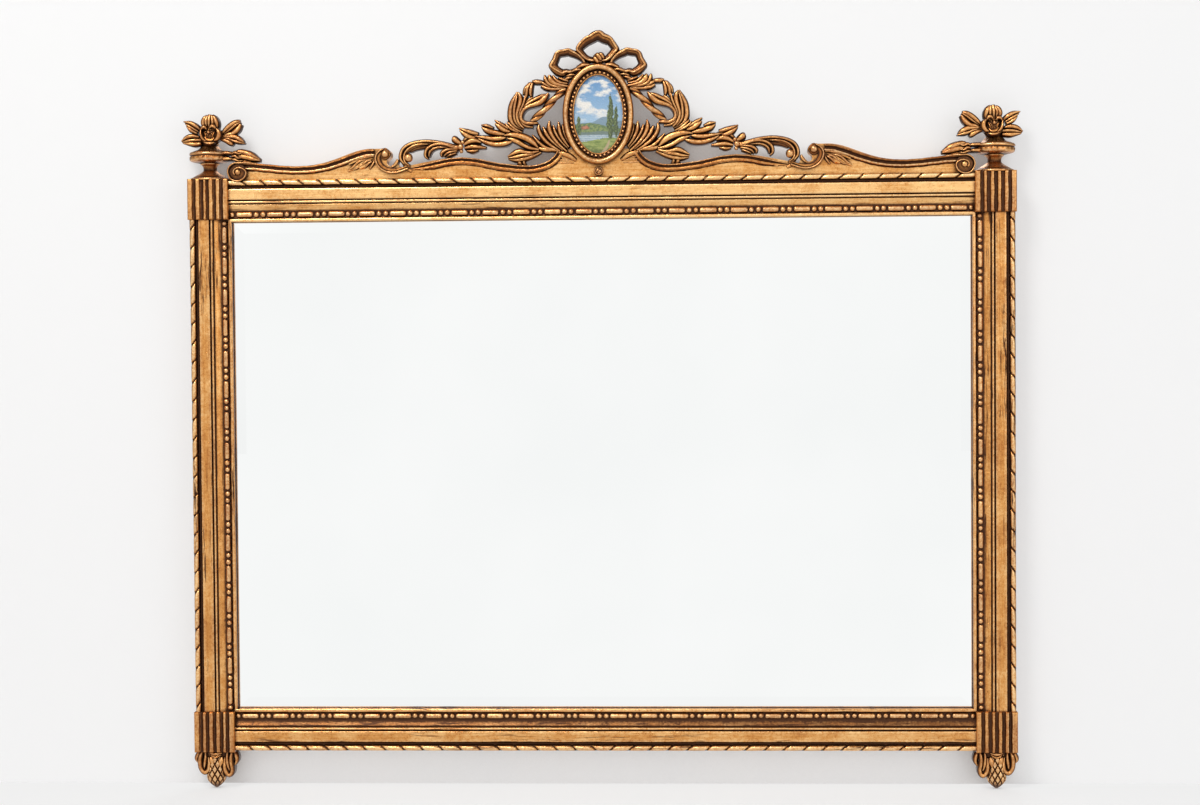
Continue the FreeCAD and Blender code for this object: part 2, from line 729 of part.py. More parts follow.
def acanthus_leaf():
    back, front = 12, 31
    strokes = [
        ([(48, 67), (60, 73), (69, 86), (69.5, 101), (65, 114), (66, 124)], (5, 7, 8, 8, 5, 0), front),
        ([(68, 86), (74, 92), (78.5, 97)], (5, 3, 0), front - 4),
        ([(69, 96), (73, 102), (75.5, 106.5)], (5, 3, 0), front - 4),
        ([(68, 104), (71, 110), (72, 113.5)], (5, 3, 0), front - 4),
        ([(58, 96), (55, 111), (50, 126), (41, 139.5)], (6, 7, 6.5, 0), front - 1),
        ([(33, 78), (45, 76.5), (56, 79), (61, 87), (56, 97), (45, 104), (32, 110.5), (19, 122)],
         (3.5, 4, 4, 4, 4.5, 5.5, 6.5, 0), front + 1),
        ([(60, 99), (50, 110), (38, 114)], (5, 5, 2), front - 5),
        ([(-8, 131), (8, 132), (21, 138), (27, 148)], (5, 5, 4.5, 0), front - 2),
        ([(-8, 136), (7, 139), (18, 147.5)], (4, 4.5, 0), front - 1),
        ([(-8, 127), (10, 126), (25, 129), (37, 134), (48, 132)], (4, 3.5, 3.5, 3, 2.5), front - 4)]
    return join([blade(beyond(spine), widths, back, top) for spine, widths, top in strokes])


def rope():
    (x0, z0), (x1, z1) = beyond([(-4, 126), (54, 78)])
    y, radius = plane(21), 5.2
    start, along = V(x0, y, z0), V(x1 - x0, 0, z1 - z0)
    return Part.makeCylinder(radius, along.Length, start, along)


# ---- bow ----

def above_ring(points):
    return [(x, medallion_middle + ring_half_height + rise) for x, rise in points]


def bow_top_loop():
    outer = above_ring([(-2, 0), (-14, 3), (-24, 12), (-30, 23), (-24, 32), (-16, 41), (-6, 47), (2, 50), (11, 46),
                        (21, 39), (29, 30), (32, 21), (25, 11), (13, 2)])
    inner = above_ring([(-2, 10), (-9, 11), (-15, 16), (-21, 22), (-17, 27), (-11, 31), (-4, 34), (2, 36), (9, 33),
                        (16, 28), (22, 24), (23, 20), (17, 14), (9, 10)])
    return loop_band(outer, inner, 14, 35)


def bow_side_loop():
    outer = above_ring([(-8, 3), (-24, 14), (-34, 21), (-46, 24), (-59, 21), (-65, 10), (-70, 0), (-66, -9),
                        (-56, -18), (-40, -15), (-26, -7)])
    inner = above_ring([(-19, 3), (-29, 9), (-38, 12), (-46, 12.5), (-53, 10), (-56, 4), (-56.5, -1), (-54, -4),
                        (-48, -7), (-38, -8), (-27, -2)])
    return loop_band(outer, inner, 13, 34)


def bow_knot():
    return join([blade(above_ring([(1, -4), (1, 8), (1, 17)]), (8, 7, 2.5), 14, ring_front - 1, 0.5),
                 blade(above_ring([(-14, -3), (-2, 5), (4, 12)]), (4, 4, 2), 14, ring_front - 3),
                 blade(above_ring([(16, -3), (6, 5), (1, 12)]), (4, 4, 2), 14, ring_front - 3)])


# ---- finials ----

def about_block(points):
    # Finial points are given from the middle of the corner block and the top of the frame
    return [(-block_middle + x, frame_top + rise) for x, rise in points]


def finial_urn():
    top = frame_top
    neck, dish = neck_radius_finial, dish_radius
    solid = turned(-block_middle, finial_setback, (0, top), (finial_base_radius, top), (finial_base_radius, top + 5),
                   (finial_base_radius * 0.8, top + 7.5), ((neck * 1.25, top + 9.5), (neck, top + 13)),
                   (neck, top + 21), (neck * 1.25, top + 24), (neck * 1.2, top + 27), (dish, top + 32.5),
                   (dish, top + 38.5), (dish - 2.5, top + 39), (dish - 2.5, top + 41), (dish, top + 41.5),
                   (dish, top + 44.5), (dish * 0.68, top + 47.5), ((neck * 1.3, top + 50.5), (neck, top + 57)),
                   (0, top + 57))
    return solid.common(box(-frame_width, 0, plane(0), plane(finial_setback) - 2 * dish, top, top + 60))


def finial_spray():
    back, front = 10, 24
    leaves = [([(-4, 69), (-16, 74), (-28, 82), (-37.5, 90)], (5, 7, 6, 0)),
              ([(-2, 62), (-18, 61), (-32, 60), (-43.5, 58.5)], (5, 8, 7, 0)),
              ([(6, 66), (26, 71), (40, 80), (50.5, 89)], (4, 7, 8.5, 1.5)),
              ([(6, 63), (28, 62), (44.5, 60), (55.5, 54.5)], (4, 6.5, 5.5, 0)),
              ([(6, 60), (24, 58), (35.5, 53)], (4, 5, 1.5))]
    solids = [blade(about_block(spine), widths, back, front + i % 2) for i, (spine, widths) in enumerate(leaves)]
    (core_x, core_z), (bud_x, bud_z) = about_block([(1, 69), (3, 85)])
    solids.append(ball(core_x, 15, core_z, 14.5, 0.75))
    solids.append(ball(bud_x, 15, bud_z, 13, 0.75))
    return join(solids)


def finial_flower():
    back, front = 22, 35
    x, z = about_block([(1, 72)])[0]
    solids = []
    for i in range(5):
        turn = math.radians(90 + 36 + 72 * i)
        reach = [(x + r * math.cos(turn), z + r * math.sin(turn)) for r in (0, 7, 13, 18)]
        solids.append(blade(reach, (2, 6, 7.5, 2.5), back, front - 2, 0.5))
    solids.append(ball(x, front - 3, z, 4.2))
    return join(solids)


def side_bud():
    spine = about_block([(24, 36), (36, 36), (49.5, 35.5), (63, 33), (77, 29.5)])
    return blade(spine, (3, 9, 11, 8, 0), 10, 28)


# ---- feet ----

def foot_cone():
    r, top = cone_radius, frame_bottom
    return turned(-block_middle, foot_setback, (0, 0), (r * 0.36, 0), ((r * 0.82, 4.2), (r, 13)),
                  ((r * 0.96, 22), (r * 0.6, top - 23)), (r * 0.6, top), (0, top))


def foot_leaves():
    back, front = 7, 29
    top = frame_bottom

    def hanging(points):
        return [(-block_middle + x, top - drop) for x, drop in points]

    leaves = [([(-17, 0), (-19, 14), (-20, 26), (-19, 37)], (8, 9.5, 8.5, 2), front),
              ([(17, 0), (19, 14), (20, 28), (18, 41)], (8, 9.5, 8.5, 2), front),
              ([(-21, 2), (-27, 12), (-31.5, 21)], (5, 4.5, 0), front - 4),
              ([(21, 2), (28, 12), (33, 20)], (5, 4.5, 0), front - 4),
              ([(-8, 2), (-8, 16), (-5.5, 27)], (4.5, 4.5, 0), front + 2),
              ([(8, 2), (8, 16), (5.5, 27)], (4.5, 4.5, 0), front + 2)]
    solids = [blade(hanging(spine), widths, back, height) for spine, widths, height in leaves]
    lip = turned(-block_middle, foot_setback, (0, top - 13), (3, top - 13),
                 ((9, top - 11), (13, top - 5)), (13, top), (0, top))
    collar = box(-block_middle - 20, -block_middle + 20, plane(back), plane(front - 2), top - 5, top)
    return join(solids + [lip, collar])


# ---- assembly ----

def frame_pieces(parts):
    corners = [(right, top) for top in (False, True) for right in (False, True)]
    blocks = {corner: corner_block(*corner) for corner in corners}
    keys = [mitre_key(*corner) for corner in corners]
    dowels = [corner_dowel(*corner) for corner in corners]
    seats = [corner_box(*corner, block_size, block_seat, block_height + 1) for corner in corners]
    fixings = backing_screws() + batten_screws() + hanger_screws(-hanger_x) + hanger_screws(hanger_x)
    leans = {"bottom": lambda x: math.copysign(1, x), "top": lambda x: -math.copysign(1, x),
             "left": lambda x: -1, "right": lambda x: 1}
    names = {"bottom": "bottom_rail", "top": "top_rail", "left": "left_stile", "right": "right_stile"}
    for side, name in names.items():
        parts[name] = main_body(moulding(side, leans[side]).cut(seats + keys + dowels + fixings))
        parts[side + "_bead_course"] = bead_course(side)
    for (right, top), block in blocks.items():
        name = "{}_{}_block".format("top" if top else "bottom", "right" if right else "left")
        parts[name] = block
    parts["mitre_keys"] = Part.makeCompound(keys)
    parts["ornament_dowels"] = Part.makeCompound(dowels)


def back_pieces(parts):
    parts["mirror_glass"], glass_back = mirror_glass()
    parts["packing_strips"] = Part.makeCompound(packing_strips(glass_back))
    parts["backing_board"] = backing_board().cut(backing_screws())
    parts["backing_screws"] = Part.makeCompound(backing_screws())
    parts["wall_bumpers"] = Part.makeCompound(wall_bumpers())
    for side, x in (("left", -hanger_x), ("right", hanger_x)):
        parts[side + "_hanger_strap"] = main_body(hanger_strap(x).cut(hanger_screws(x)))
        parts[side + "_hanger_ring"] = d_ring(x)
    parts["hanger_screws"] = Part.makeCompound(hanger_screws(-hanger_x) + hanger_screws(hanger_x))


def both_sides(parts, name, left):
    parts["left_" + name] = left
    parts["right_" + name] = mirrored(left)


def crest_pieces(parts):
    bolt = crest_screw()
    parts["crest_board"] = main_body(crest_board().cut([bolt] + batten_screws()))
    parts["crest_battens"] = Part.makeCompound(crest_battens()).cut([bolt] + batten_screws())
    parts["batten_screws"] = Part.makeCompound(batten_screws())
    parts["crest_screw"] = bolt
    parts["medallion_ring"] = medallion_ring()
    parts["medallion_panel"] = medallion_panel()
    parts["medallion_beads"] = medallion_beads()
    board, ring = parts["crest_board"], parts["medallion_ring"]
    edging = trimmed(scroll_moulding(), ring, bolt)
    both_sides(parts, "scroll_moulding", edging)
    tail = trimmed(scroll_tail(), board, edging)
    both_sides(parts, "scroll_tail", tail)
    fan = trimmed(palmette(), board, edging, ring)
    both_sides(parts, "palmette", fan)
    laurel = trimmed(laurel_branch(), board, edging, tail, fan)
    both_sides(parts, "laurel_branch", laurel)
    knot = trimmed(bow_knot(), ring, board)
    top_loop = trimmed(bow_top_loop(), ring, board, knot)
    side_loop = trimmed(bow_side_loop(), ring, board, knot, top_loop, mirrored(knot), mirrored(top_loop))
    parts["bow_knot"] = knot
    parts["bow_top_loop"] = top_loop
    both_sides(parts, "bow_loop", side_loop)
    acanthus = trimmed(acanthus_leaf(), ring, board, laurel, fan, side_loop)
    both_sides(parts, "acanthus_leaf", acanthus)
    both_sides(parts, "rope", trimmed(rope(), ring, board, acanthus, fan))


def corner_ornaments(parts):
    rail, dowel = parts["top_rail"], corner_dowel(False, True)
    block = corner_box(False, True, block_size, block_seat, block_height * 2)
    urn = trimmed(finial_urn(), rail, block, dowel, parts["crest_board"], parts["left_scroll_moulding"])
    both_sides(parts, "finial_urn", urn)
    spray = trimmed(finial_spray(), urn)
    both_sides(parts, "finial_spray", spray)
    both_sides(parts, "finial_flower", trimmed(finial_flower(), spray, urn))
    both_sides(parts, "side_bud", trimmed(side_bud(), urn, spray, parts["crest_board"],
                                          parts["left_scroll_moulding"]))
    low_block, dowel = parts["bottom_left_block"], corner_dowel(False, False)
    cone = trimmed(foot_cone(), low_block, dowel)
    both_sides(parts, "foot_cone", cone)
    both_sides(parts, "foot_leaves", trimmed(foot_leaves(), cone, low_block, dowel, parts["bottom_rail"],
                                             parts["left_stile"]))


def build():
    parts = {}
    frame_pieces(parts)
    back_pieces(parts)
    crest_pieces(parts)
    corner_ornaments(parts)
    os.makedirs("parts", exist_ok=True)
    for name, shape in parts.items():
        shape.exportStep(os.path.join("parts", name + ".step"))
        bounds = shape.BoundBox
        print("{:24s} {:2d} solids {:10.0f} mm3 valid {}  x {:.1f} {:.1f}  y {:.1f} {:.1f}  z {:.1f} {:.1f}".format(
            name, len(shape.Solids), shape.Volume, shape.isValid(), bounds.XMin, bounds.XMax,
            bounds.YMin, bounds.YMax, bounds.ZMin, bounds.ZMax))


if __name__ == "__main__":
    build()
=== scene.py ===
import math
import bmesh
import bpy
import numpy as np
from mathutils import Matrix, Vector


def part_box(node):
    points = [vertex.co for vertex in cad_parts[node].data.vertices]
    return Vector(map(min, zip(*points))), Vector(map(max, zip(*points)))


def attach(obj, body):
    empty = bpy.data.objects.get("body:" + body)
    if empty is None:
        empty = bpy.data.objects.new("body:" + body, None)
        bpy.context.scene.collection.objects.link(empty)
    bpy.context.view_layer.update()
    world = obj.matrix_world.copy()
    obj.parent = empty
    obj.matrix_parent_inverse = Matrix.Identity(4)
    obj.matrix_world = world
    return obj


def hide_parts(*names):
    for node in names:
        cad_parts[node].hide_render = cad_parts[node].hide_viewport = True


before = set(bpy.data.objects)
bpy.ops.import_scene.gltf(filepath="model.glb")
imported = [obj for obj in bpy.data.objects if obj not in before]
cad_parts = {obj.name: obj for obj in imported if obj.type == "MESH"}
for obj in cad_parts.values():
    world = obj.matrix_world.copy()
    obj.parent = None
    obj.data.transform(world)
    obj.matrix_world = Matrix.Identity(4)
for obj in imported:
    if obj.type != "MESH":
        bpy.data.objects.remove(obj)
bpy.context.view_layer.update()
print("frame loaded:", len(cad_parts), "nodes")

mm = 0.001                  # all sizes below are in mm


def boxOf(node):
    return [[round(value / mm, 1) for value in corner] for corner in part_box(node)]


railLow, railHigh = boxOf("bottom_rail")
frameBottom, outerX, frameBack = railLow[2], railHigh[0], railHigh[1]
frameTop = boxOf("top_rail")[1][2]
blockBox = boxOf("top_right_block")
blockX = (blockBox[0][0] + blockBox[1][0]) / 2          # middle of a corner block
middleZ, halfTall = (frameTop + frameBottom) / 2, (frameTop - frameBottom) / 2
medallionZ = 978.6                                      # middle of the oval


# a shape is (points, faces, darkness, grain): above 0 the darkness is patina and painted shade, below 0 worn
# gold with a painted highlight; grain runs with the work

def heightToY(height):
    return frameBack - height


def spline(rows, count, closed=False):
    rows = np.asarray(rows, float)
    n = len(rows)
    if n == 2 and not closed:
        t = np.linspace(0, 1, count)[:, None]
        return rows[0] * (1 - t) + rows[1] * t
    if closed:
        padded = np.vstack([rows[-1], rows, rows[0], rows[1]])
        spans = n
    else:
        padded = np.vstack([2 * rows[0] - rows[1], rows, 2 * rows[-1] - rows[-2]])
        spans = n - 1
    chords = np.array([np.linalg.norm(padded[i + 2, :2] - padded[i + 1, :2]) for i in range(spans)])
    ends = np.concatenate([[0], np.cumsum(chords)])
    where = np.linspace(0, ends[-1], count, endpoint=not closed)
    out = []
    for w in where:
        i = min(max(np.searchsorted(ends, w, side="right") - 1, 0), spans - 1)
        t = (w - ends[i]) / max(chords[i], 1e-9)
        a, b, c, d = padded[i:i + 4]
        out.append(0.5 * (2 * b + (c - a) * t + (2 * a - 5 * b + 4 * c - d) * t * t
                          + (3 * b - a - 3 * c + d) * t ** 3))
    return np.array(out)


def wander(values, wavelength, seed):
    # a slow wavy unevenness of about one unit, as left by the hand
    spin = np.random.default_rng(seed).uniform(0, 2 * math.pi, 3)
    w = 2 * math.pi / wavelength
    return (np.sin(values * w + spin[0]) + 0.6 * np.sin(values * w * 2.3 + spin[1])
            + 0.4 * np.sin(values * w * 4.1 + spin[2])) / 1.6


def gridFaces(rows, columns, closeRows=False, closeColumns=True):
    i = np.arange(rows if closeRows else rows - 1)
    j = np.arange(columns if closeColumns else columns - 1)
    a, b = np.meshgrid(i, j, indexing="ij")
    a, b = a.ravel(), b.ravel()
    up, right = (a + 1) % rows, (b + 1) % columns
    corners = [a * columns + b, a * columns + right, up * columns + right, up * columns + b]
    return np.stack(corners, 1).tolist()


def gridRim(rows, columns):
    # the points round the edge of an open grid, in order
    return ([i * columns for i in range(rows)] + [(rows - 1) * columns + j for j in range(1, columns)]
            + [i * columns + columns - 1 for i in range(rows - 2, -1, -1)] + list(range(columns - 2, 0, -1)))


def ringStack(rings, shadeAndPatina, grain, closed=False):
    # rings: (rows, columns, 3); capped at both ends unless closed
    rows, columns = rings.shape[:2]
    faces = gridFaces(rows, columns, closed)
    if not closed:
        faces.append(list(range(columns))[::-1])
        faces.append([(rows - 1) * columns + j for j in range(columns)])
    return rings.reshape(-1, 3), faces, shadeAndPatina.ravel(), grain.reshape(-1, 3)


def stroke(points, widths, front, back=9.0, crown=5.0, pitch=2.0, across=15, square=2.3, closed=False, seed=0,
           wobble=0.2, tone=0.0, shade=(0.0, 0.0)):
    # one carved leaf, stem or band: rounded front, upright sides and flat back; widths are to each side
    widths = np.asarray(widths, float)
    if widths.ndim == 1:
        widths = np.stack([widths, widths], 1)
    fronts = np.full(len(points), front, float) if np.isscalar(front) else np.asarray(front, float)
    rows = np.column_stack([np.asarray(points, float), widths, fronts])
    rough = spline(rows, 60, closed)
    length = np.linalg.norm(np.diff(rough[:, :2], axis=0), axis=1).sum()
    count = max(10, int(length / pitch))
    path = spline(rows, count, closed)
    centre = path[:, :2]
    if closed:
        tangent = np.roll(centre, -1, 0) - np.roll(centre, 1, 0)
    else:
        tangent = np.gradient(centre, axis=0)
    tangent /= np.linalg.norm(tangent, axis=1)[:, None] + 1e-9
    normal = np.stack([-tangent[:, 1], tangent[:, 0]], 1)
    gone = np.concatenate([[0], np.cumsum(np.linalg.norm(np.diff(centre, axis=0), axis=1))])
    left = np.maximum(path[:, 2], 0.15)
    right = np.maximum(path[:, 3], 0.15)
    full = (left + right) / 2
    top = path[:, 4] + wobble * wander(gone, 17, seed) * np.minimum(1, full / 3)
    rise = crown * np.minimum(1, full / (0.75 * crown))
    u = np.unique(np.round(np.cos(np.linspace(math.pi, 0, across)), 4))
    v = np.maximum(0, 1 - np.abs(u) ** square) ** (1 / square)
    across = len(u)
    rings = np.zeros((count, across + 2, 3))
    shadeAndPatina = np.zeros((count, across + 2))
    grain = np.zeros((count, across + 2, 3))
    # side walls and the rim of the front darken with patina and painted shade, and the crown gets a painted
    # highlight; shade adds painted shade on one side, and tone darkens the whole stroke
    for j in range(across + 2):
        if j in (0, across + 1):
            offset = -right if j == 0 else left
            height = np.minimum(top - rise - 0.3, float(back))
            dark = np.full(count, 1.0)
        else:
            k = j - 1
            offset = u[k] * (left if u[k] > 0 else right)
            height = top - rise + rise * v[k]
            dark = np.full(count, 0.95 * (1 - v[k]) ** 0.8 - 0.45 * v[k] ** 3 + tone)
            dark += shade[1 if u[k] > 0 else 0] * abs(u[k])
        rings[:, j, 0] = centre[:, 0] + normal[:, 0] * offset
        rings[:, j, 1] = heightToY(height)
        rings[:, j, 2] = centre[:, 1] + normal[:, 1] * offset
        shadeAndPatina[:, j] = dark
        grain[:, j] = np.stack([gone + seed * 37.0, offset + seed * 11.0, height], 1)
    return ringStack(rings, shadeAndPatina, grain, closed)


def twistedTube(points, radii, pitch, around, twist, lobes, depth, seed):
    # strands twisted round each other, through (x, height, z) points
    points = np.asarray(points, float)
    rows = np.column_stack([points[:, 0], points[:, 2], points[:, 1], np.broadcast_to(radii, len(points))])
    rough = spline(rows, 50)
    length = np.linalg.norm(np.diff(rough[:, :3], axis=0), axis=1).sum()
    count = max(8, int(length / pitch))
    path = spline(rows, count)
    centre = np.stack([path[:, 0], path[:, 2], path[:, 1]], 1)
    tangent = np.gradient(centre, axis=0)
    tangent /= np.linalg.norm(tangent, axis=1)[:, None]
    sideways = np.cross(tangent, [0.0, 1.0, 0.0])
    sideways /= np.linalg.norm(sideways, axis=1)[:, None]
    forward = np.cross(sideways, tangent)
    gone = np.concatenate([[0], np.cumsum(np.linalg.norm(np.diff(centre, axis=0), axis=1))])
    rings = np.zeros((count, around, 3))
    shadeAndPatina = np.zeros((count, around))
    grain = np.zeros((count, around, 3))
    for j in range(around):
        a = 2 * math.pi * j / around
        wave = np.abs(np.sin((lobes * a - 2 * math.pi * gone / twist) / 2))
        r = np.maximum(path[:, 3], 0.1) * (1 - depth + depth * wave ** 0.6)
        at = centre + (sideways * math.cos(a) + forward * math.sin(a)) * r[:, None]
        rings[:, j] = np.stack([at[:, 0], heightToY(at[:, 1]), at[:, 2]], 1)
        # patina and painted shade between the strands and on the half towards the wall, a painted highlight
        # on the strand crowns
        shadeAndPatina[:, j] = 1.1 * (1 - wave) ** 2 - 0.35 * wave + 0.5 * max(0, -math.sin(a))
        grain[:, j] = np.stack([gone + seed * 31, np.full(count, a * 4), r], 1)
    points, faces, shadeAndPatina, grain = ringStack(rings, shadeAndPatina, grain)
    return points, [face[::-1] for face in faces], shadeAndPatina, grain


def ballShape(x, height, z, radius, squash=1.0, seed=0, rings=12, around=18, edgeShade=0.6):
    # a slightly uneven ball, darker towards its edge with patina and painted shade, and with a painted
    # highlight at its front
    points, shadeAndPatina, grain = [], [], []
    for i in range(rings + 1):
        a = math.pi * i / rings                    # pole towards the viewer
        for j in range(around):
            b = 2 * math.pi * j / around
            r = radius * (1 + 0.025 * math.sin(3 * b + seed) * math.sin(a))
            s = max(math.sin(a), 0.02)
            points.append((x + r * s * math.cos(b), heightToY(height + r * squash * math.cos(a)),
                           z + r * s * math.sin(b)))
            shadeAndPatina.append(edgeShade * (1 - math.cos(a)) - 0.45 * max(0, math.cos(a)))
            grain.append((b * radius, a * radius, seed * 7.0))
    return ringStack(np.array(points).reshape(rings + 1, around, 3), np.array(shadeAndPatina), np.array(grain))


def merged(shapes):
    points, faces, shadeAndPatina, grain, start = [], [], [], [], 0
    for p, f, h, g in shapes:
        points.append(p)
        faces += [[i + start for i in face] for face in f]
        shadeAndPatina.append(h)
        grain.append(g)
        start += len(p)
    return np.vstack(points), faces, np.concatenate(shadeAndPatina), np.vstack(grain)


def mirroredShape(shape):
    points, faces, shadeAndPatina, grain = shape
    return points * [-1, 1, 1], [f[::-1] for f in faces], shadeAndPatina, grain + [400.0, 90.0, 0.0]


def addPiece(name, shape, material, stands=(), smooth=True):
    # stands: the CAD nodes that this piece takes the place of
    points, faces, shadeAndPatina, grain = shape
    mesh = bpy.data.meshes.new(name)
    mesh.from_pydata((points * mm).tolist(), [], faces)
    mesh.validate()
    whole = bmesh.new()
    whole.from_mesh(mesh)
    bmesh.ops.recalc_face_normals(whole, faces=whole.faces)
    whole.to_mesh(mesh)
    whole.free()
    mesh.update()
    if smooth:
        mesh.polygons.foreach_set("use_smooth", [True] * len(mesh.polygons))
    if len(shadeAndPatina) == len(mesh.vertices):
        mesh.attributes.new("shadeAndPatina", "FLOAT", "POINT").data.foreach_set("value", np.asarray(shadeAndPatina, float))
        flat = np.asarray(grain, float).ravel()
        mesh.attributes.new("grain", "FLOAT_VECTOR", "POINT").data.foreach_set("vector", flat)
    piece = bpy.data.objects.new(name, mesh)
    bpy.context.scene.collection.objects.link(piece)
    mesh.materials.append(material)
    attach(piece, "frame")
    for node in stands:
        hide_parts(node)
    return piece


def beyond(points):
    # distance out from the medallion's edge and height above the frame, on the left
    return [(-50.0 - out, frameTop + rise) for out, rise in points]


def aboveRing(points):
    # measured from the top of the oval
    return [(x, medallionZ + 72.0 + rise) for x, rise in points]


def aboutBlock(points):
    # measured from the middle of the top left block's upper face
    return [(-blockX + x, frameTop + rise) for x, rise in points]


class Nodes:
    def __init__(self, owner):
        owner.use_nodes = True
        self.owner = owner
        self.tree = owner.node_tree
        self.shader = self.tree.nodes.get("Principled BSDF")

    def add(self, kind, inputs=(), **settings):
        node = self.tree.nodes.new("ShaderNode" + kind)
        for key, value in settings.items():
            setattr(node, key, value)
        for key, value in dict(inputs).items():
            self.put(value, node.inputs[key])
        return node

    def put(self, value, socket):
        if isinstance(value, bpy.types.NodeSocket):
            self.tree.links.new(value, socket)
        else:
            socket.default_value = value

    def math(self, operation, a, b=0.0, clamp=False):
        node = self.add("Math", operation=operation, use_clamp=clamp)
        self.put(a, node.inputs[0])
        self.put(b, node.inputs[1])
        return node.outputs[0]

    def ramp(self, value, stops):
        node = self.add("ValToRGB")
        while len(node.color_ramp.elements) < len(stops):
            node.color_ramp.elements.new(0.5)
        for element, (at, colour) in zip(node.color_ramp.elements, stops):
            element.position = at
            element.color = (*colour, 1) if isinstance(colour, tuple) else (colour, colour, colour, 1)
        self.put(value, node.inputs[0])
        return node.outputs[0]

    def noise(self, where, scale, detail=3.0, roughness=0.55, distortion=0.0):
        node = self.add("TexNoise", {"Scale": scale, "Detail": detail, "Roughness": roughness,
                                     "Distortion": distortion})
        self.put(where, node.inputs["Vector"])
        return node.outputs["Fac"]

    def stretched(self, where, scale):
        node = self.add("Mapping", {"Scale": scale})
        self.put(where, node.inputs["Vector"])
        return node.outputs[0]

    def blend(self, share, a, b):
        node = self.add("Mix", data_type="RGBA")
        self.put(share, node.inputs[0])
        self.put(a, node.inputs[6])
        self.put(b, node.inputs[7])
        return node.outputs[2]

    def bump(self, height, strength, distance, normal=None):
        node = self.add("Bump", {"Strength": strength, "Distance": distance})
        self.put(height, node.inputs["Height"])
        if normal is not None:
            self.put(normal, node.inputs["Normal"])
        return node.outputs[0]


def newMaterial(name):
    return Nodes(bpy.data.materials.new(name))


gilding = {
    # the pale gold also serves as a painted highlight, and the patina colour also as painted shade in the
    # recesses
    "deep": (0.40, 0.135, 0.030), "mid": (0.66, 0.295, 0.078), "light": (0.90, 0.54, 0.22),
    "rubbedAndHighlight": (1.0, 0.74, 0.42), "patina": (0.060, 0.020, 0.006), "boleAndShade": (0.27, 0.085, 0.022),
    "backDark": (0.13, 0.065, 0.028), "backMid": (0.25, 0.14, 0.065), "backLight": (0.34, 0.20, 0.10),
    "roughness": 0.30, "metal": 0.92,
    # noise scales, and how dark each kind of wear gets
    "broadScale": 23.0, "fineScale": 260.0, "pitScale": 620.0, "speckScale": 170.0, "rubScale": 55.0,
    "toolScale": 95.0,
    "crevicePatinaShadeDark": 0.72, "sunkShadeDark": 0.85, "pitDark": 0.55, "speckDark": 0.5,
}


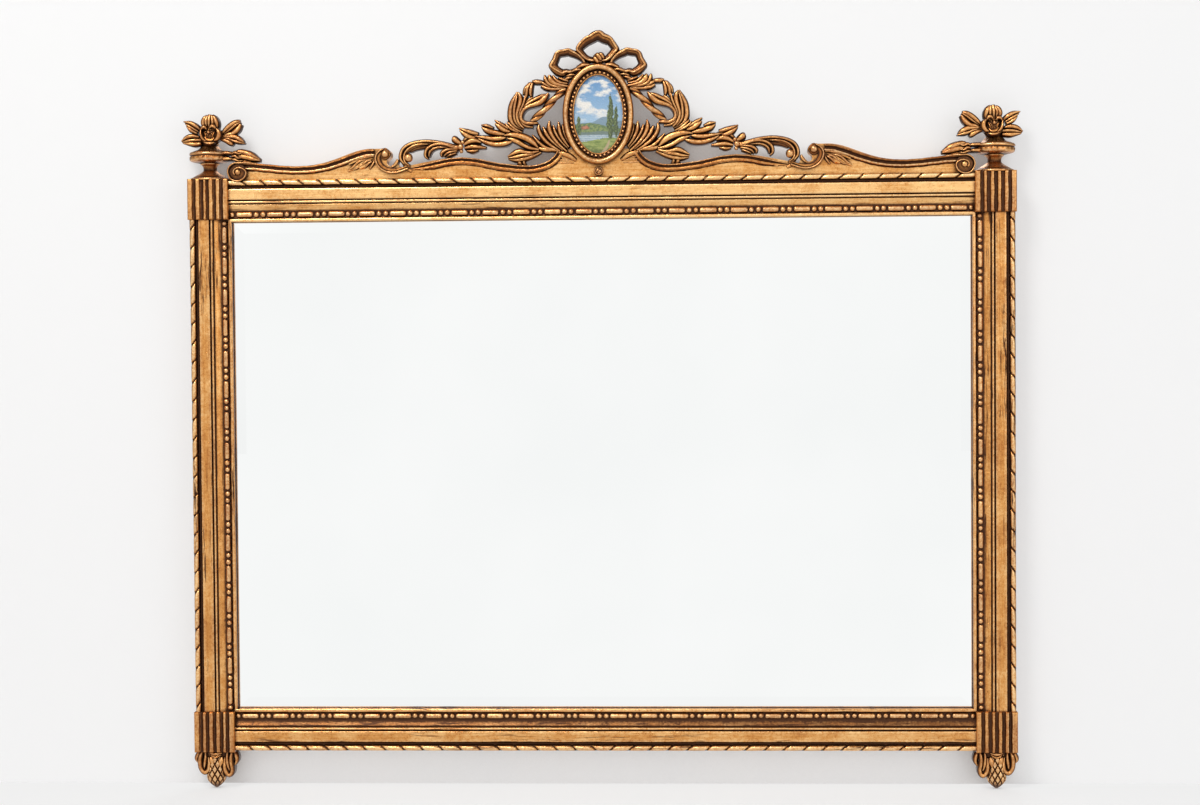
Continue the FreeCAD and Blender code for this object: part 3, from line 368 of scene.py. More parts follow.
def gildedMaterial(name, streaks, wear, shadePatinaShare=1.0, cavitySize=0.007, relief=0.0011, toneShift=0.0,
                   placed=False):
    n = newMaterial(name)
    g = gilding
    place = n.add("TexCoord").outputs["Object"]
    grain = n.add("Attribute", attribute_name="grain").outputs["Vector"]
    if placed:
        grain = n.stretched(place, (1000, 1000, 1000))
    shadeAndPatina = n.add("Attribute", attribute_name="shadeAndPatina").outputs["Fac"]
    # leaf laid over gesso: tone wanders from deep to light
    broad = n.noise(place, g["broadScale"], 4.0, 0.6)
    fine = n.noise(place, g["fineScale"], 4.0, 0.65)
    brushed = n.noise(n.stretched(grain, (0.035, 0.55, 0.5)), 1.0, 4.0, 0.6, 0.6)
    tone = n.math("ADD", n.math("MULTIPLY", broad, 0.45), n.math("MULTIPLY", fine, 0.28))
    tone = n.math("ADD", tone, n.math("MULTIPLY", brushed, 0.32))
    tone = n.math("ADD", tone, toneShift)
    gold = n.ramp(tone, [(0.36, g["deep"]), (0.50, g["mid"]), (0.66, g["light"])])
    # the brightest parts of the shape are worn to pale gold, which also stands as a painted highlight
    raised = n.math("MULTIPLY", n.math("MULTIPLY", shadeAndPatina, -1.0, True), 1.5, True)
    rubbedAndHighlight = n.math("MULTIPLY", raised, n.ramp(fine, [(0.35, 0.15), (0.65, 0.70)]))
    gold = n.blend(rubbedAndHighlight, gold, (*g["rubbedAndHighlight"], 1))
    # brown patina and painted shade left in the recesses, where the shape is dark and where the parts close
    # in; patina also in streaks along the work and in small pits
    crevicePatinaShade = n.add("AmbientOcclusion", {"Distance": cavitySize}, samples=6, only_local=False).outputs["AO"]
    crevicePatinaShade = n.ramp(crevicePatinaShade, [(0.35, 1.0), (0.85, 0.0)])
    sunkShadePatina = n.math("MULTIPLY", n.math("MAXIMUM", shadeAndPatina, 0.0), shadePatinaShare)
    sunkShadePatina = n.math("MULTIPLY", sunkShadePatina, n.ramp(fine, [(0.25, 1.25), (0.75, 0.75)]))
    cloud = n.noise(n.stretched(grain, (0.008, 0.05, 0.05)), 1.0, 3.0, 0.55)
    streak = n.noise(n.stretched(grain, (0.022, 0.42, 0.30)), 1.0, 6.0, 0.68, 0.4)
    streakMask = n.ramp(cloud, [(0.46, 0.0), (0.62, 1.0)])
    streak = n.math("MULTIPLY", n.ramp(streak, [(0.50, 0.0), (0.62, 1.0)]), streakMask)
    pits = n.ramp(n.noise(place, g["pitScale"], 2.0, 0.5), [(0.69, 0.0), (0.74, 1.0)])
    specks = n.ramp(n.noise(place, g["speckScale"], 3.0, 0.7), [(0.70, 0.0), (0.76, 1.0)])
    rubbing = n.ramp(n.noise(place, g["rubScale"], 5.0, 0.7, 0.8), [(0.55, 0.0), (0.74, 1.0)])
    dark = n.math("ADD", n.math("MULTIPLY", crevicePatinaShade, g["crevicePatinaShadeDark"]), n.math("MULTIPLY", sunkShadePatina, g["sunkShadeDark"]))
    dark = n.math("ADD", dark, n.math("MULTIPLY", streak, streaks))
    dark = n.math("ADD", dark, n.math("MULTIPLY", pits, g["pitDark"]))
    dark = n.math("ADD", dark, n.math("MULTIPLY", specks, g["speckDark"]))
    dark = n.math("ADD", dark, n.math("MULTIPLY", rubbing, wear), True)
    # this darkness holds patina, wear and painted shade together: the red ground shows first, then the brown
    boleAndShade = n.ramp(dark, [(0.15, 0.0), (0.55, 1.0)])
    colour = n.blend(n.math("MULTIPLY", boleAndShade, 0.55), gold, (*g["boleAndShade"], 1))
    colour = n.blend(n.ramp(dark, [(0.30, 0.0), (0.95, 1.0)]), colour, (*g["patina"], 1))
    metal = n.math("SUBTRACT", g["metal"], n.math("MULTIPLY", dark, 0.16), True)
    rough = n.math("ADD", g["roughness"], n.math("MULTIPLY", dark, 0.12))
    rough = n.math("ADD", rough, n.math("MULTIPLY", n.math("SUBTRACT", fine, 0.5), 0.35), True)
    # faces turned to the wall are bare wood
    facing = n.add("SeparateXYZ")
    n.put(n.add("NewGeometry").outputs["Normal"], facing.inputs[0])
    behind = n.ramp(facing.outputs["Y"], [(0.80, 0.0), (0.92, 1.0)])
    figure = n.noise(n.stretched(grain, (0.012, 0.8, 0.8)), 1.0, 5.0, 0.6, 1.2)
    wood = n.ramp(figure, [(0.32, g["backDark"]), (0.55, g["backMid"]), (0.75, g["backLight"])])
    colour = n.blend(behind, colour, wood)
    metal = n.math("MULTIPLY", metal, n.math("SUBTRACT", 1.0, behind))
    rough = n.math("MAXIMUM", rough, n.math("MULTIPLY", behind, 0.72))
    n.put(colour, n.shader.inputs["Base Color"])
    n.put(metal, n.shader.inputs["Metallic"])
    n.put(rough, n.shader.inputs["Roughness"])
    uneven = n.noise(place, g["toolScale"], 3.0, 0.6)
    worked = n.math("ADD", n.math("MULTIPLY", uneven, 0.9), n.math("MULTIPLY", brushed, 0.4))
    worked = n.math("SUBTRACT", worked, n.math("MULTIPLY", n.math("ADD", pits, specks), 0.35))
    coarse = n.bump(worked, 0.55, relief)
    n.put(n.bump(fine, 0.25, relief * 0.3, coarse), n.shader.inputs["Normal"])
    return n.owner


def woodMaterial(name, dark, light, scale, roughness=0.7):
    n = newMaterial(name)
    place = n.add("TexCoord").outputs["Object"]
    lines = n.noise(n.stretched(place, scale), 1.0, 6.0, 0.62, 1.4)
    pores = n.noise(n.stretched(place, tuple(6 * s for s in scale)), 1.0, 2.0, 0.5)
    mixed = n.math("ADD", n.math("MULTIPLY", lines, 0.75), n.math("MULTIPLY", pores, 0.25))
    n.put(n.ramp(mixed, [(0.34, dark), (0.66, light)]), n.shader.inputs["Base Color"])
    n.put(n.ramp(pores, [(0.3, roughness - 0.1), (0.7, roughness + 0.1)]), n.shader.inputs["Roughness"])
    n.put(n.bump(mixed, 0.4, 0.0004), n.shader.inputs["Normal"])
    return n.owner


def boardMaterial():
    # pressed fibre board: fine flecks and a faint waxy sheen
    n = newMaterial("hardboard")
    place = n.add("TexCoord").outputs["Object"]
    fibres = n.noise(place, 420.0, 6.0, 0.75, 0.6)
    stains = n.noise(place, 5.0, 4.0, 0.6)
    mixed = n.math("ADD", n.math("MULTIPLY", fibres, 0.6), n.math("MULTIPLY", stains, 0.4))
    browns = [(0.34, (0.10, 0.055, 0.028)), (0.52, (0.19, 0.11, 0.058)), (0.70, (0.27, 0.17, 0.095))]
    n.put(n.ramp(mixed, browns), n.shader.inputs["Base Color"])
    n.put(n.ramp(fibres, [(0.3, 0.42), (0.7, 0.62)]), n.shader.inputs["Roughness"])
    n.put(n.bump(fibres, 0.3, 0.0003), n.shader.inputs["Normal"])
    return n.owner


def metalMaterial(name, colour, tarnish, roughness):
    n = newMaterial(name)
    place = n.add("TexCoord").outputs["Object"]
    spots = n.noise(place, 240.0, 5.0, 0.7, 0.5)
    scuffs = n.noise(n.stretched(place, (900, 900, 120)), 1.0, 2.0, 0.5)
    n.put(n.ramp(spots, [(0.40, tarnish), (0.58, colour)]), n.shader.inputs["Base Color"])
    n.shader.inputs["Metallic"].default_value = 1.0
    n.put(n.ramp(scuffs, [(0.3, roughness - 0.07), (0.7, roughness + 0.12)]), n.shader.inputs["Roughness"])
    n.put(n.bump(scuffs, 0.25, 0.0002), n.shader.inputs["Normal"])
    return n.owner


def feltMaterial():
    n = newMaterial("felt")
    place = n.add("TexCoord").outputs["Object"]
    fuzz = n.noise(place, 1500.0, 5.0, 0.75)
    greys = [(0.3, (0.045, 0.036, 0.03)), (0.7, (0.13, 0.11, 0.09))]
    n.put(n.ramp(fuzz, greys), n.shader.inputs["Base Color"])
    n.shader.inputs["Roughness"].default_value = 0.95
    n.shader.inputs["Sheen Weight"].default_value = 0.35
    n.put(n.bump(fuzz, 0.7, 0.0006), n.shader.inputs["Normal"])
    return n.owner


def silveredMaterial():
    # plate glass over silver: very clear, a trace of haze and a few aged specks near the edge
    n = newMaterial("silvered_glass")
    place = n.add("TexCoord").outputs["Object"]
    haze = n.noise(place, 3.0, 3.0, 0.5)
    silver = [(0.35, (0.915, 0.93, 0.925)), (0.65, (0.945, 0.955, 0.95))]
    n.put(n.ramp(haze, silver), n.shader.inputs["Base Color"])
    n.shader.inputs["Metallic"].default_value = 1.0
    specks = n.ramp(n.noise(place, 90.0, 2.0, 0.5), [(0.80, 0.0), (0.83, 1.0)])
    n.put(n.math("MULTIPLY", specks, 0.3), n.shader.inputs["Roughness"])
    return n.owner


gildedRail = gildedMaterial("gilded_rail", streaks=0.9, wear=0.30)
# the top rail's gold is lighter and less worn and streaked: painted light from above
gildedTopLit = gildedMaterial("gilded_top_rail_lit", streaks=0.6, wear=0.12, toneShift=0.09)
gildedStile = gildedMaterial("gilded_stile", streaks=1.1, wear=0.38, toneShift=-0.02)
gildedCarving = gildedMaterial("gilded_carving", streaks=0.2, wear=0.30, shadePatinaShare=1.35, cavitySize=0.016,
                               relief=0.0007, toneShift=-0.10)
gildedBoard = gildedMaterial("gilded_board", streaks=0.3, wear=0.45, toneShift=0.02, placed=True)
bareWood = woodMaterial("bare_wood", (0.30, 0.17, 0.08), (0.52, 0.34, 0.18), (6, 60, 60))
hardboard = boardMaterial()
zincSteel = metalMaterial("zinc_steel", (0.55, 0.55, 0.56), (0.34, 0.33, 0.31), 0.34)
platedBrass = metalMaterial("plated_brass", (0.80, 0.60, 0.27), (0.42, 0.27, 0.10), 0.27)
felt = feltMaterial()
silvered = silveredMaterial()
print("materials ready")

railMoulding = {
    "ribbonWidth": 8.0, "ribbonPitch": 27.9, "cutSpread": 1.5, "cutDepth": 4.4, "cutSlant": 1.15,
    "blockEdge": 539.3, "seatHeight": 21.0, "waviness": 0.16, "fineStep": 1.15, "coarseStep": 3.6,
    "ribbonEdge": 8.55, "ribbonLow": 25.0, "extraDarkFrom": 35.9, "extraDarkTo": 46.0,
}
# distance in from the outer edge, height from the back, darkness: patina and painted shade above 0, a painted
# highlight below 0
railSection = [
    (0.0, 0.0, 0.7), (0.0, 9.0, 0.5), (0.0, 18.0, 0.35), (0.1, 24.0, 0.3), (0.5, 27.4, 0.2),
    (1.0, 29.0, 0.0), (1.8, 30.3, -0.3), (3.0, 31.2, -0.6), (4.6, 31.5, -0.7), (6.2, 31.2, -0.5),
    (7.3, 30.3, -0.2), (8.0, 29.0, 0.3), (8.35, 27.4, 0.8), (8.6, 25.4, 1.1), (9.4, 24.1, 1.3),
    (11.2, 24.0, 1.25), (12.4, 24.6, 1.1), (12.9, 26.2, 0.6), (13.2, 28.3, 0.1), (13.9, 28.95, -0.4),
    (15.4, 29.05, -0.2), (18.0, 28.95, 0.0), (22.0, 28.95, 0.0), (26.0, 29.05, -0.1), (28.0, 29.05, -0.3),
    (28.8, 28.7, -0.2), (29.0, 27.6, 0.5), (29.1, 26.0, 1.0), (29.6, 25.1, 1.2), (30.4, 25.2, 1.1),
    (30.9, 26.6, 0.6), (31.2, 27.8, 0.0), (32.0, 28.1, -0.45), (33.0, 28.1, -0.4), (33.8, 27.7, 0.1),
    (34.0, 26.5, 0.7), (34.3, 25.2, 1.15), (35.2, 24.9, 1.1), (35.8, 25.3, 0.8), (36.2, 26.0, 0.2),
    (37.2, 25.7, -0.1), (38.6, 24.9, -0.05), (40.0, 24.0, 0.0), (41.6, 23.2, 0.1), (43.2, 22.6, 0.3),
    (44.6, 22.2, 0.7), (45.6, 22.0, 1.2), (48.0, 22.0, 1.3), (50.5, 22.0, 1.3), (53.0, 22.0, 1.3),
    (55.2, 22.1, 1.3), (56.0, 22.9, 0.8), (56.5, 24.2, 0.2), (57.6, 24.9, -0.3), (59.2, 25.0, -0.35),
    (60.4, 24.7, -0.2), (61.0, 23.8, 0.0), (61.0, 20.5, 0.5), (61.0, 17.0, 0.9), (53.0, 17.0, 1.0),
    (53.0, 8.0, 0.8), (53.0, 0.0, 0.8), (27.0, 0.0, 0.4),
]


def railStations(half):
    p = railMoulding
    at, stations = -p["blockEdge"] + (outerX - half), []
    end = -at
    while at < end:
        stations.append(at)
        phase = (at / p["ribbonPitch"]) % 1.0
        at += p["fineStep"] if 0.28 < phase < 0.74 else p["coarseStep"]
    return stations + [end]


def railShape(half, wallHalf, lean, seed, extraDark=0.0):
    # drawn lying along X with its outer edge down; the last argument darkens the groove beside the beads with
    # painted shade
    p = railMoulding
    u, base, dark = np.array(railSection).T
    dark = dark + extraDark * ((u > p["extraDarkFrom"]) & (u < p["extraDarkTo"]))
    stations = railStations(half)
    edge = stations[-1]

    def ring(s, clipped=False):
        uneven = wander(np.full(1, s), 61, seed) + 0.5 * wander(u * 3 + s * 0.2, 17, seed + 3)
        h = base + np.where(base > 20, p["waviness"] * (u < 61) * uneven, 0)
        slanted = s - lean(s) * (u - 4.6) * p["cutSlant"]
        off = ((slanted / p["ribbonPitch"]) % 1.0 - 0.5) * p["ribbonPitch"]
        off = off + 0.5 * math.sin(round(slanted.mean() / p["ribbonPitch"]) * 2.3 + seed)
        bite = np.exp(-(off / p["cutSpread"]) ** 2)
        onRibbon = (u < p["ribbonEdge"]) & (h > p["ribbonLow"])
        swell = 0.35 * np.cos(2 * math.pi * off / p["ribbonPitch"])
        h = np.where(onRibbon, h - p["cutDepth"] * bite - swell + 0.2, h)
        if clipped:                            # runs on under the corner block
            h = np.minimum(h, p["seatHeight"] - 0.4)
        # the cuts between the turns of the ribbon darken with patina and painted shade
        return h, np.where(onRibbon, dark + 2.2 * bite, dark)

    under, over = edge + 0.6, edge + 0.5
    reach = half - u - under                   # mitre: each line ends where it meets its neighbour
    mitre = np.linspace(0, 1, 4)
    rings = [(-under - reach * k, *ring(-edge, True)) for k in mitre[::-1]]
    rings.append((np.full(len(u), -over), *ring(-edge)))
    rings += [(np.full(len(u), s), *ring(s)) for s in stations]
    rings.append((np.full(len(u), over), *ring(edge)))
    rings += [(under + reach * k, *ring(edge, True)) for k in mitre]
    points = np.array([np.stack([s, heightToY(h), u - wallHalf], 1) for s, h, d in rings])
    shadeAndPatina = np.array([d for s, h, d in rings])
    grain = np.array([np.stack([s + seed * 1300.0, u + seed * 70.0, h * 0.4], 1) for s, h, d in rings])
    return ringStack(points, shadeAndPatina, grain)


def turnedTo(shape, side):
    points, faces, shadeAndPatina, grain = shape
    x, y, z = points.T
    placed = {"bottom": (x, z), "top": (-x, -z), "left": (z, -x), "right": (-z, x)}[side]
    return np.stack([placed[0], y, placed[1] + middleZ], 1), faces, shadeAndPatina, grain


# the bottom rail alone gets extra painted shade in the groove beside its beads
sides = {
    "bottom": {"node": "bottom_rail", "half": outerX, "wall": halfTall, "gold": gildedRail, "extraDark": 0.85,
               "lean": lambda s: math.copysign(1, s)},
    "top": {"node": "top_rail", "half": outerX, "wall": halfTall, "gold": gildedTopLit, "extraDark": 0.0,
            "lean": lambda s: -math.copysign(1, s)},
    "left": {"node": "left_stile", "half": halfTall, "wall": outerX, "gold": gildedStile, "extraDark": 0.0,
             "lean": lambda s: -1},
    "right": {"node": "right_stile", "half": halfTall, "wall": outerX, "gold": gildedStile, "extraDark": 0.0,
              "lean": lambda s: 1},
}
for number, (side, data) in enumerate(sides.items()):
    shape = railShape(data["half"], data["wall"], data["lean"], number + 2, data["extraDark"])
    addPiece(data["node"] + "_carved", turnedTo(shape, side), data["gold"], [data["node"]])
print("rails and stiles done")


beadCourse = {"pitch": 45.5, "reel": 24.5, "radius": 3.9, "bead": 4.1, "spacing": 9.6, "centre": 50.5,
              "floor": 22.3, "stop": 57.5}


def lathed(stations, around=16, seed=0):
    # stations: (distance along X, radius); turned about X
    rings, shadeAndPatina, grain = [], [], []
    for s, r in stations:
        for j in range(around):
            a = 2 * math.pi * j / around
            rings.append((s, -r * math.sin(a), r * math.cos(a)))
            # the sides and back darken with painted shade and patina, and the front gets a painted highlight
            lit = math.sin(a)
            shadeAndPatina.append(0.9 - 1.5 * max(0, lit) ** 0.8 if lit > -0.2 else 1.0)
            grain.append((s + seed * 17.0, a * 4, r))
    return np.array(rings).reshape(len(stations), around, 3), np.array(shadeAndPatina), np.array(grain)


def capsule(length, radius, seed):
    half = length / 2
    profile = [(-half, 0.35), (-half + 0.25, radius * 0.55), (-half + 0.9, radius * 0.82),
               (-half + 1.9, radius * 0.96), (-half + 3.4, radius), (0, radius * (1 + 0.03 * math.sin(seed)))]
    profile += [(-s, r) for s, r in profile[-2::-1]]
    return lathed(profile, 16, seed)


def pearl(radius, seed):
    profile = [(-radius * math.cos(a), max(0.3, radius * math.sin(a))) for a in np.linspace(0, math.pi, 9)]
    return lathed(profile, 14, seed)


def beadCourseShape(half, wallHalf, seed):
    p = beadCourse
    run = 2 * (half - p["stop"])
    count = round(run / p["pitch"])
    pitch = run / count
    draw = np.random.default_rng(seed)
    shapes = []

    def place(form, s, grow):
        rings, shadeAndPatina, grain = form
        rings = rings * grow
        rings[:, :, 0] += s + draw.normal(0, 0.25)
        rings[:, :, 1] += heightToY(p["floor"]) + draw.normal(0, 0.12)
        rings[:, :, 2] += p["centre"] - wallHalf + draw.normal(0, 0.15)
        shapes.append(ringStack(rings, shadeAndPatina, grain))

    for i in range(count):
        middle = -run / 2 + (i + 0.5) * pitch
        place(capsule(p["reel"] * draw.uniform(0.96, 1.03), p["radius"], i + seed), middle, 1.0)
        for k in (-0.5, 0.5):
            s = middle + pitch / 2 + k * p["spacing"]
            if abs(s) < run / 2 - 3:
                place(pearl(p["bead"], i), s, draw.uniform(0.93, 1.05))
        if i == 0:
            place(pearl(p["bead"], i), -run / 2 + p["spacing"] / 2, 0.96)
    return merged(shapes)


for number, (side, data) in enumerate(sides.items()):
    shape = turnedTo(beadCourseShape(data["half"], data["wall"], number + 31), side)
    addPiece(side + "_beads", shape, gildedCarving, [side + "_bead_course"])
print("bead courses done")


cornerBlock = {"size": 59.0, "seat": 21.0, "front": 36.0, "reeds": 6, "fluteDepth": 3.4, "fluteHalf": 3.0,
               "edge": 1.1, "wave": 0.22, "left": 597.6, "rise": 1.4, "drop": 1.2}


def blockShape(left, low, seed):
    p = cornerBlock
    size = p["size"]
    rounding = np.array([0, 0.25, 0.7, 1.4])
    across = np.concatenate([rounding, np.linspace(2.2, size - 2.2, 110), size - rounding[::-1]])
    up = np.concatenate([rounding, np.linspace(2.6, size - 2.6, 26), size - rounding[::-1]])
    x, z = np.meshgrid(across, up, indexing="ij")
    draw = np.random.default_rng(seed + 60)
    height = np.full(x.shape, p["front"] - 0.3) + 0.18 * wander(z, 31, seed) * wander(x, 14, seed + 4)
    dark = np.full(x.shape, -0.22)
    for k in range(1, p["reeds"]):
        middle = size * k / p["reeds"] + draw.normal(0, 0.35) + p["wave"] * wander(z, 52, seed + 3 * k)
        half = p["fluteHalf"] * draw.uniform(0.88, 1.12) + 0.25 * wander(z, 33, seed + 5 * k)
        off = (x - middle) / half
        bite = np.clip(1 - off ** 2, 0, 1) ** 0.62
        height = height - p["fluteDepth"] * bite * draw.uniform(0.9, 1.05)
        # each flute darkens with patina and painted shade, more to one side, and its edges get a painted
        # highlight; the rim darkens too
        shade = np.clip(1.15 - np.abs(off - 0.12), 0, 1)
        dark = np.maximum(dark, 1.25 * shade - 0.20)
        dark = dark - 0.35 * np.exp(-((np.abs(off) - 1.25) / 0.22) ** 2)
    rim = np.minimum(np.minimum(x, size - x), np.minimum(z, size - z))
    height = height - p["edge"] * np.clip(1 - rim / 1.5, 0, 1) ** 2
    dark = dark + 0.5 * np.clip(1 - np.abs(rim - 0.5) / 1.0, 0, 1)
    rows, columns = x.shape
    front = np.stack([left + x, heightToY(height), low + z], 2)
    grain = np.stack([z + seed * 90, x, height], 2)
    points = [front.reshape(-1, 3)]
    shadeAndPatina = [dark.ravel()]
    grains = [grain.reshape(-1, 3)]
    faces = gridFaces(rows, columns, closeColumns=False)
    loop = gridRim(rows, columns)
    base = rows * columns
    rimPoints = front.reshape(-1, 3)[loop]
    # the upright sides darken towards the seat, as painted shade
    for level, tone in ((30.0, 0.1), (24.0, 0.35), (p["seat"], 0.8)):
        ring = rimPoints.copy()
        ring[:, 1] = heightToY(level)
        points.append(ring)
        shadeAndPatina.append(np.full(len(ring), tone))
        grains.append(np.stack([ring[:, 2] + seed * 90, ring[:, 0], ring[:, 1]], 1))
    starts = [loop] + [list(range(base + k * len(loop), base + (k + 1) * len(loop))) for k in range(3)]
    for upper, lower in zip(starts, starts[1:]):
        for i in range(len(loop)):
            j = (i + 1) % len(loop)
            faces.append([upper[i], upper[j], lower[j], lower[i]])
    faces.append(starts[-1][::-1])
    return np.vstack(points), faces, np.concatenate(shadeAndPatina), np.vstack(grains)


blockLows = {"bottom": frameBottom - cornerBlock["drop"],
             "top": frameTop + cornerBlock["rise"] - cornerBlock["size"]}
blockLefts = {"left": -cornerBlock["left"], "right": cornerBlock["left"] - cornerBlock["size"]}
for number, (level, low) in enumerate(blockLows.items()):
    for k, (hand, left) in enumerate(blockLefts.items()):
        name = level + "_" + hand + "_block"
        shape = blockShape(left, low, number * 2 + k + 3)
        addPiece(name + "_reeded", shape, gildedCarving, [name])
print("corner blocks done")


def bothSides(name, shape, material, node=None):
    pieces = []
    for hand, form in (("left", shape), ("right", mirroredShape(shape))):
        stands = [hand + "_" + node] if node else []
        pieces.append(addPiece(hand + "_" + name, form, material, stands))
    return pieces


def carved(ridges, back, seed, place=beyond, rim=0.9, drop=3.4, crown=3.8, sunkShadePatina=0.5, full=1.24):
    # rounded ridges standing on a wider bed darkened with patina and painted shade, the way a leaf is veined
    # with the gouge
    shapes = []
    for i, (line, half, top, *more) in enumerate(ridges):
        tone = more[0] if more else 0.0
        tops = np.full(len(half), float(top))
        tops[[0, -1]] -= 2.2
        half = [h * (full if 0 < k < len(half) - 1 else 1.1) for k, h in enumerate(half)]
        bed = [h + rim * min(1.0, h / 1.5) for h in half]
        path = place(line)
        shapes.append(stroke(path, half, tops, top - 8.0, crown, pitch=1.2, across=13, square=2.0,
                             seed=seed + i, wobble=0.15, tone=tone + 0.11))
        shapes.append(stroke(path, bed, tops - drop, back + 0.09 * i, 2.2, pitch=1.8, across=9, square=2.6,
                             seed=seed + i + 40, tone=sunkShadePatina))
    return merged(shapes)


def swept(line, section, seed, pitch=1.8, back=23.4, growIn=0.0, extraDark=0.0):
    # a moulding run along a line, its section given as distance to the right, height and darkness (patina and
    # painted shade, a painted highlight below 0)
    rows = spline(line, 60)
    length = np.linalg.norm(np.diff(rows, axis=0), axis=1).sum()
    path = spline(line, int(length / pitch))
    along = np.gradient(path, axis=0)
    along /= np.linalg.norm(along, axis=1)[:, None]
    across = np.stack([along[:, 1], -along[:, 0]], 1)
    gone = np.concatenate([[0], np.cumsum(np.linalg.norm(np.diff(path, axis=0), axis=1))])
    grow = np.clip(gone / growIn, 0.04, 1) ** 0.7 if growIn else np.ones(len(gone))
    section = [(section[0][0], back, 0.8)] + list(section) + [(section[-1][0], back, 0.8)]
    rings = np.zeros((len(path), len(section), 3))
    shadeAndPatina = np.zeros(rings.shape[:2])
    grain = np.zeros(rings.shape)
    for j, (u, height, dark) in enumerate(section):
        loose = height > back                  # the two lowest lines lie flat on the board
        at = path + across * (u * grow[:, None] + (0.16 * wander(gone, 23, seed)[:, None] if loose else 0))
        high = back + (height - back) * grow + (0.18 * wander(gone, 19, seed + 2) if loose else 0)
        rings[:, j] = np.stack([at[:, 0], heightToY(high + 0 * gone), at[:, 1]], 1)
        shadeAndPatina[:, j] = dark + extraDark + 0.12 * wander(gone, 11, seed + j % 3)
        grain[:, j] = np.stack([gone + seed * 50, np.full(len(gone), u), np.full(len(gone), height)], 1)
    return ringStack(rings, shadeAndPatina, grain)


# a soft roll, browned with patina and painted shade, a groove darker still, a ridge with a painted highlight,
# and a cut line against the board
longSection = [
    (0.0, 26.4, 0.5), (0.3, 28.2, 0.35), (1.2, 29.4, 0.15), (2.2, 29.6, 0.25), (3.1, 29.0, 0.6),
    (3.7, 27.8, 1.1), (4.6, 26.6, 1.35), (5.8, 26.2, 1.2), (6.5, 26.9, 0.5), (7.1, 28.0, -0.2),
    (8.2, 28.7, -0.7), (9.4, 28.4, -0.6), (10.2, 27.4, 0.0), (10.6, 25.9, 0.9), (11.2, 24.6, 1.25),
    (12.0, 24.2, 0.9), (12.6, 23.9, 0.3)]
innerSection = [
    (0.0, 26.6, 0.4), (0.25, 28.4, 0.1), (0.9, 29.6, -0.5), (1.6, 29.5, -0.4), (2.2, 28.2, 0.6),
    (2.7, 26.8, 1.3), (3.6, 26.0, 1.4), (4.6, 26.2, 1.1), (5.2, 27.2, 0.4), (6.0, 27.9, 0.0),
    (7.6, 28.1, -0.3), (8.8, 27.5, -0.2), (9.4, 26.2, 0.6), (10.0, 24.8, 1.3), (11.0, 24.4, 1.2),
    (11.8, 23.9, 0.4)]
crestEdge = {
    "volute": (-524.5, 901.0), "voluteTop": 33.4, "button": 4.0,
    # turn in degrees, radius
    "spiral": [(80, 13.4), (110, 13.7), (145, 14.1), (180, 14.2), (225, 13.8), (270, 13.1), (315, 12.7),
               (352, 12.7), (376, 11.0), (400, 8.6), (425, 6.9), (450, 6.0), (495, 5.8), (540, 5.9),
               (585, 5.8)],
    "long": [(-526.5, 915.0), (-501.5, 914.2), (-480.7, 912.2), (-459.8, 910.0), (-439.0, 909.0),
             (-418.2, 909.8), (-397.3, 913.0), (-376.5, 919.0), (-355.7, 926.5), (-339.0, 931.4),
             (-325.0, 932.4)],
    "hook": beyond([(262, 42.2), (267, 39.6), (271.5, 35.0), (273.2, 29), (271.4, 21.5), (266, 14.2),
                    (257, 9.2), (247, 8), (238, 9.6), (226, 13.6)]),
    "inner": beyond([(230, 12.6), (210, 18), (190, 23), (172, 26.8), (155, 28.8), (138, 28.5), (120, 26),
                     (100, 21.5), (80, 18.5), (60, 16.5), (45, 16.5), (32, 19), (21, 24), (13, 31), (9, 39)]),
    "ball": (-309.6, 925.2), "ballRadius": 6.3,
}


def diamond(x, z, reach):
    # four points round a middle, for a small closed ring
    return [(x - reach, z), (x, z + reach), (x + reach, z), (x, z - reach)]


def crestEdging():
    p = crestEdge
    cx, cz = p["volute"]
    coil = [(math.radians(a), r) for a, r in p["spiral"][::-1]]
    spiral = [(cx + r * math.cos(a), cz + r * math.sin(a)) for a, r in coil]
    spiral += [(cx + 14.0, 914.2), (cx + 27.0, 913.0)]
    tops = np.full(len(spiral), p["voluteTop"])
    tops[-2:] = 31.5, 29.4
    thin = [1.2] * (len(spiral) - 2) + [1.5, 1.0]
    x, z = p["ball"]
    cheek = [1.6, 3.2, 3.6, 3.8, 3.8, 3.8, 3.6, 3.2, 2.2, 0.8]
    prong = beyond([(250, 16), (245, 19.5), (241.5, 25), (243, 27)])   # stands in the notch
    # the rings round the volute and the ball, and the cheek of the hook, darken with patina and painted shade
    shapes = [
        swept(p["long"], longSection, 1, extraDark=0.14),
        swept(p["inner"], innerSection, 3, growIn=40.0, extraDark=0.14),
        stroke(spiral, thin, tops, back=25.0, crown=3.0, pitch=1.1, across=11, square=2.0, seed=1),
        stroke(diamond(cx, cz, 6.4), [7.3] * 4, 30.0, back=23.4, crown=1.2, pitch=1.6, across=9, square=4.0,
               closed=True, seed=2, tone=1.0),
        ballShape(cx, 28.6, cz, p["button"] + 1.2, 0.95, 2),
        stroke(p["hook"], [1.4] * 10, 31.0, back=23.5, crown=3.2, pitch=1.2, across=11, square=2.1, seed=4),
        stroke(inwards(p["hook"], -3.6), cheek, 27.6, back=23.5, crown=1.6, pitch=1.4, across=9, square=2.6,
               seed=5, tone=0.55, shade=(0.2, 0.5)),
        ballShape(x, 26.0, z, p["ballRadius"], 1.0, 3, 14, 22, 0.45),
        stroke(diamond(x, z, 7.2), [1.7] * 4, 27.0, back=23.4, crown=1.6, pitch=1.3, across=9, square=2.2,
               closed=True, seed=6, tone=0.75),
        stroke(prong, [1.2, 2.2, 2.2, 0.8], 28.6, back=12, crown=2.6, pitch=1.2, across=11, seed=7, tone=0.1),
    ]
    return merged(shapes)


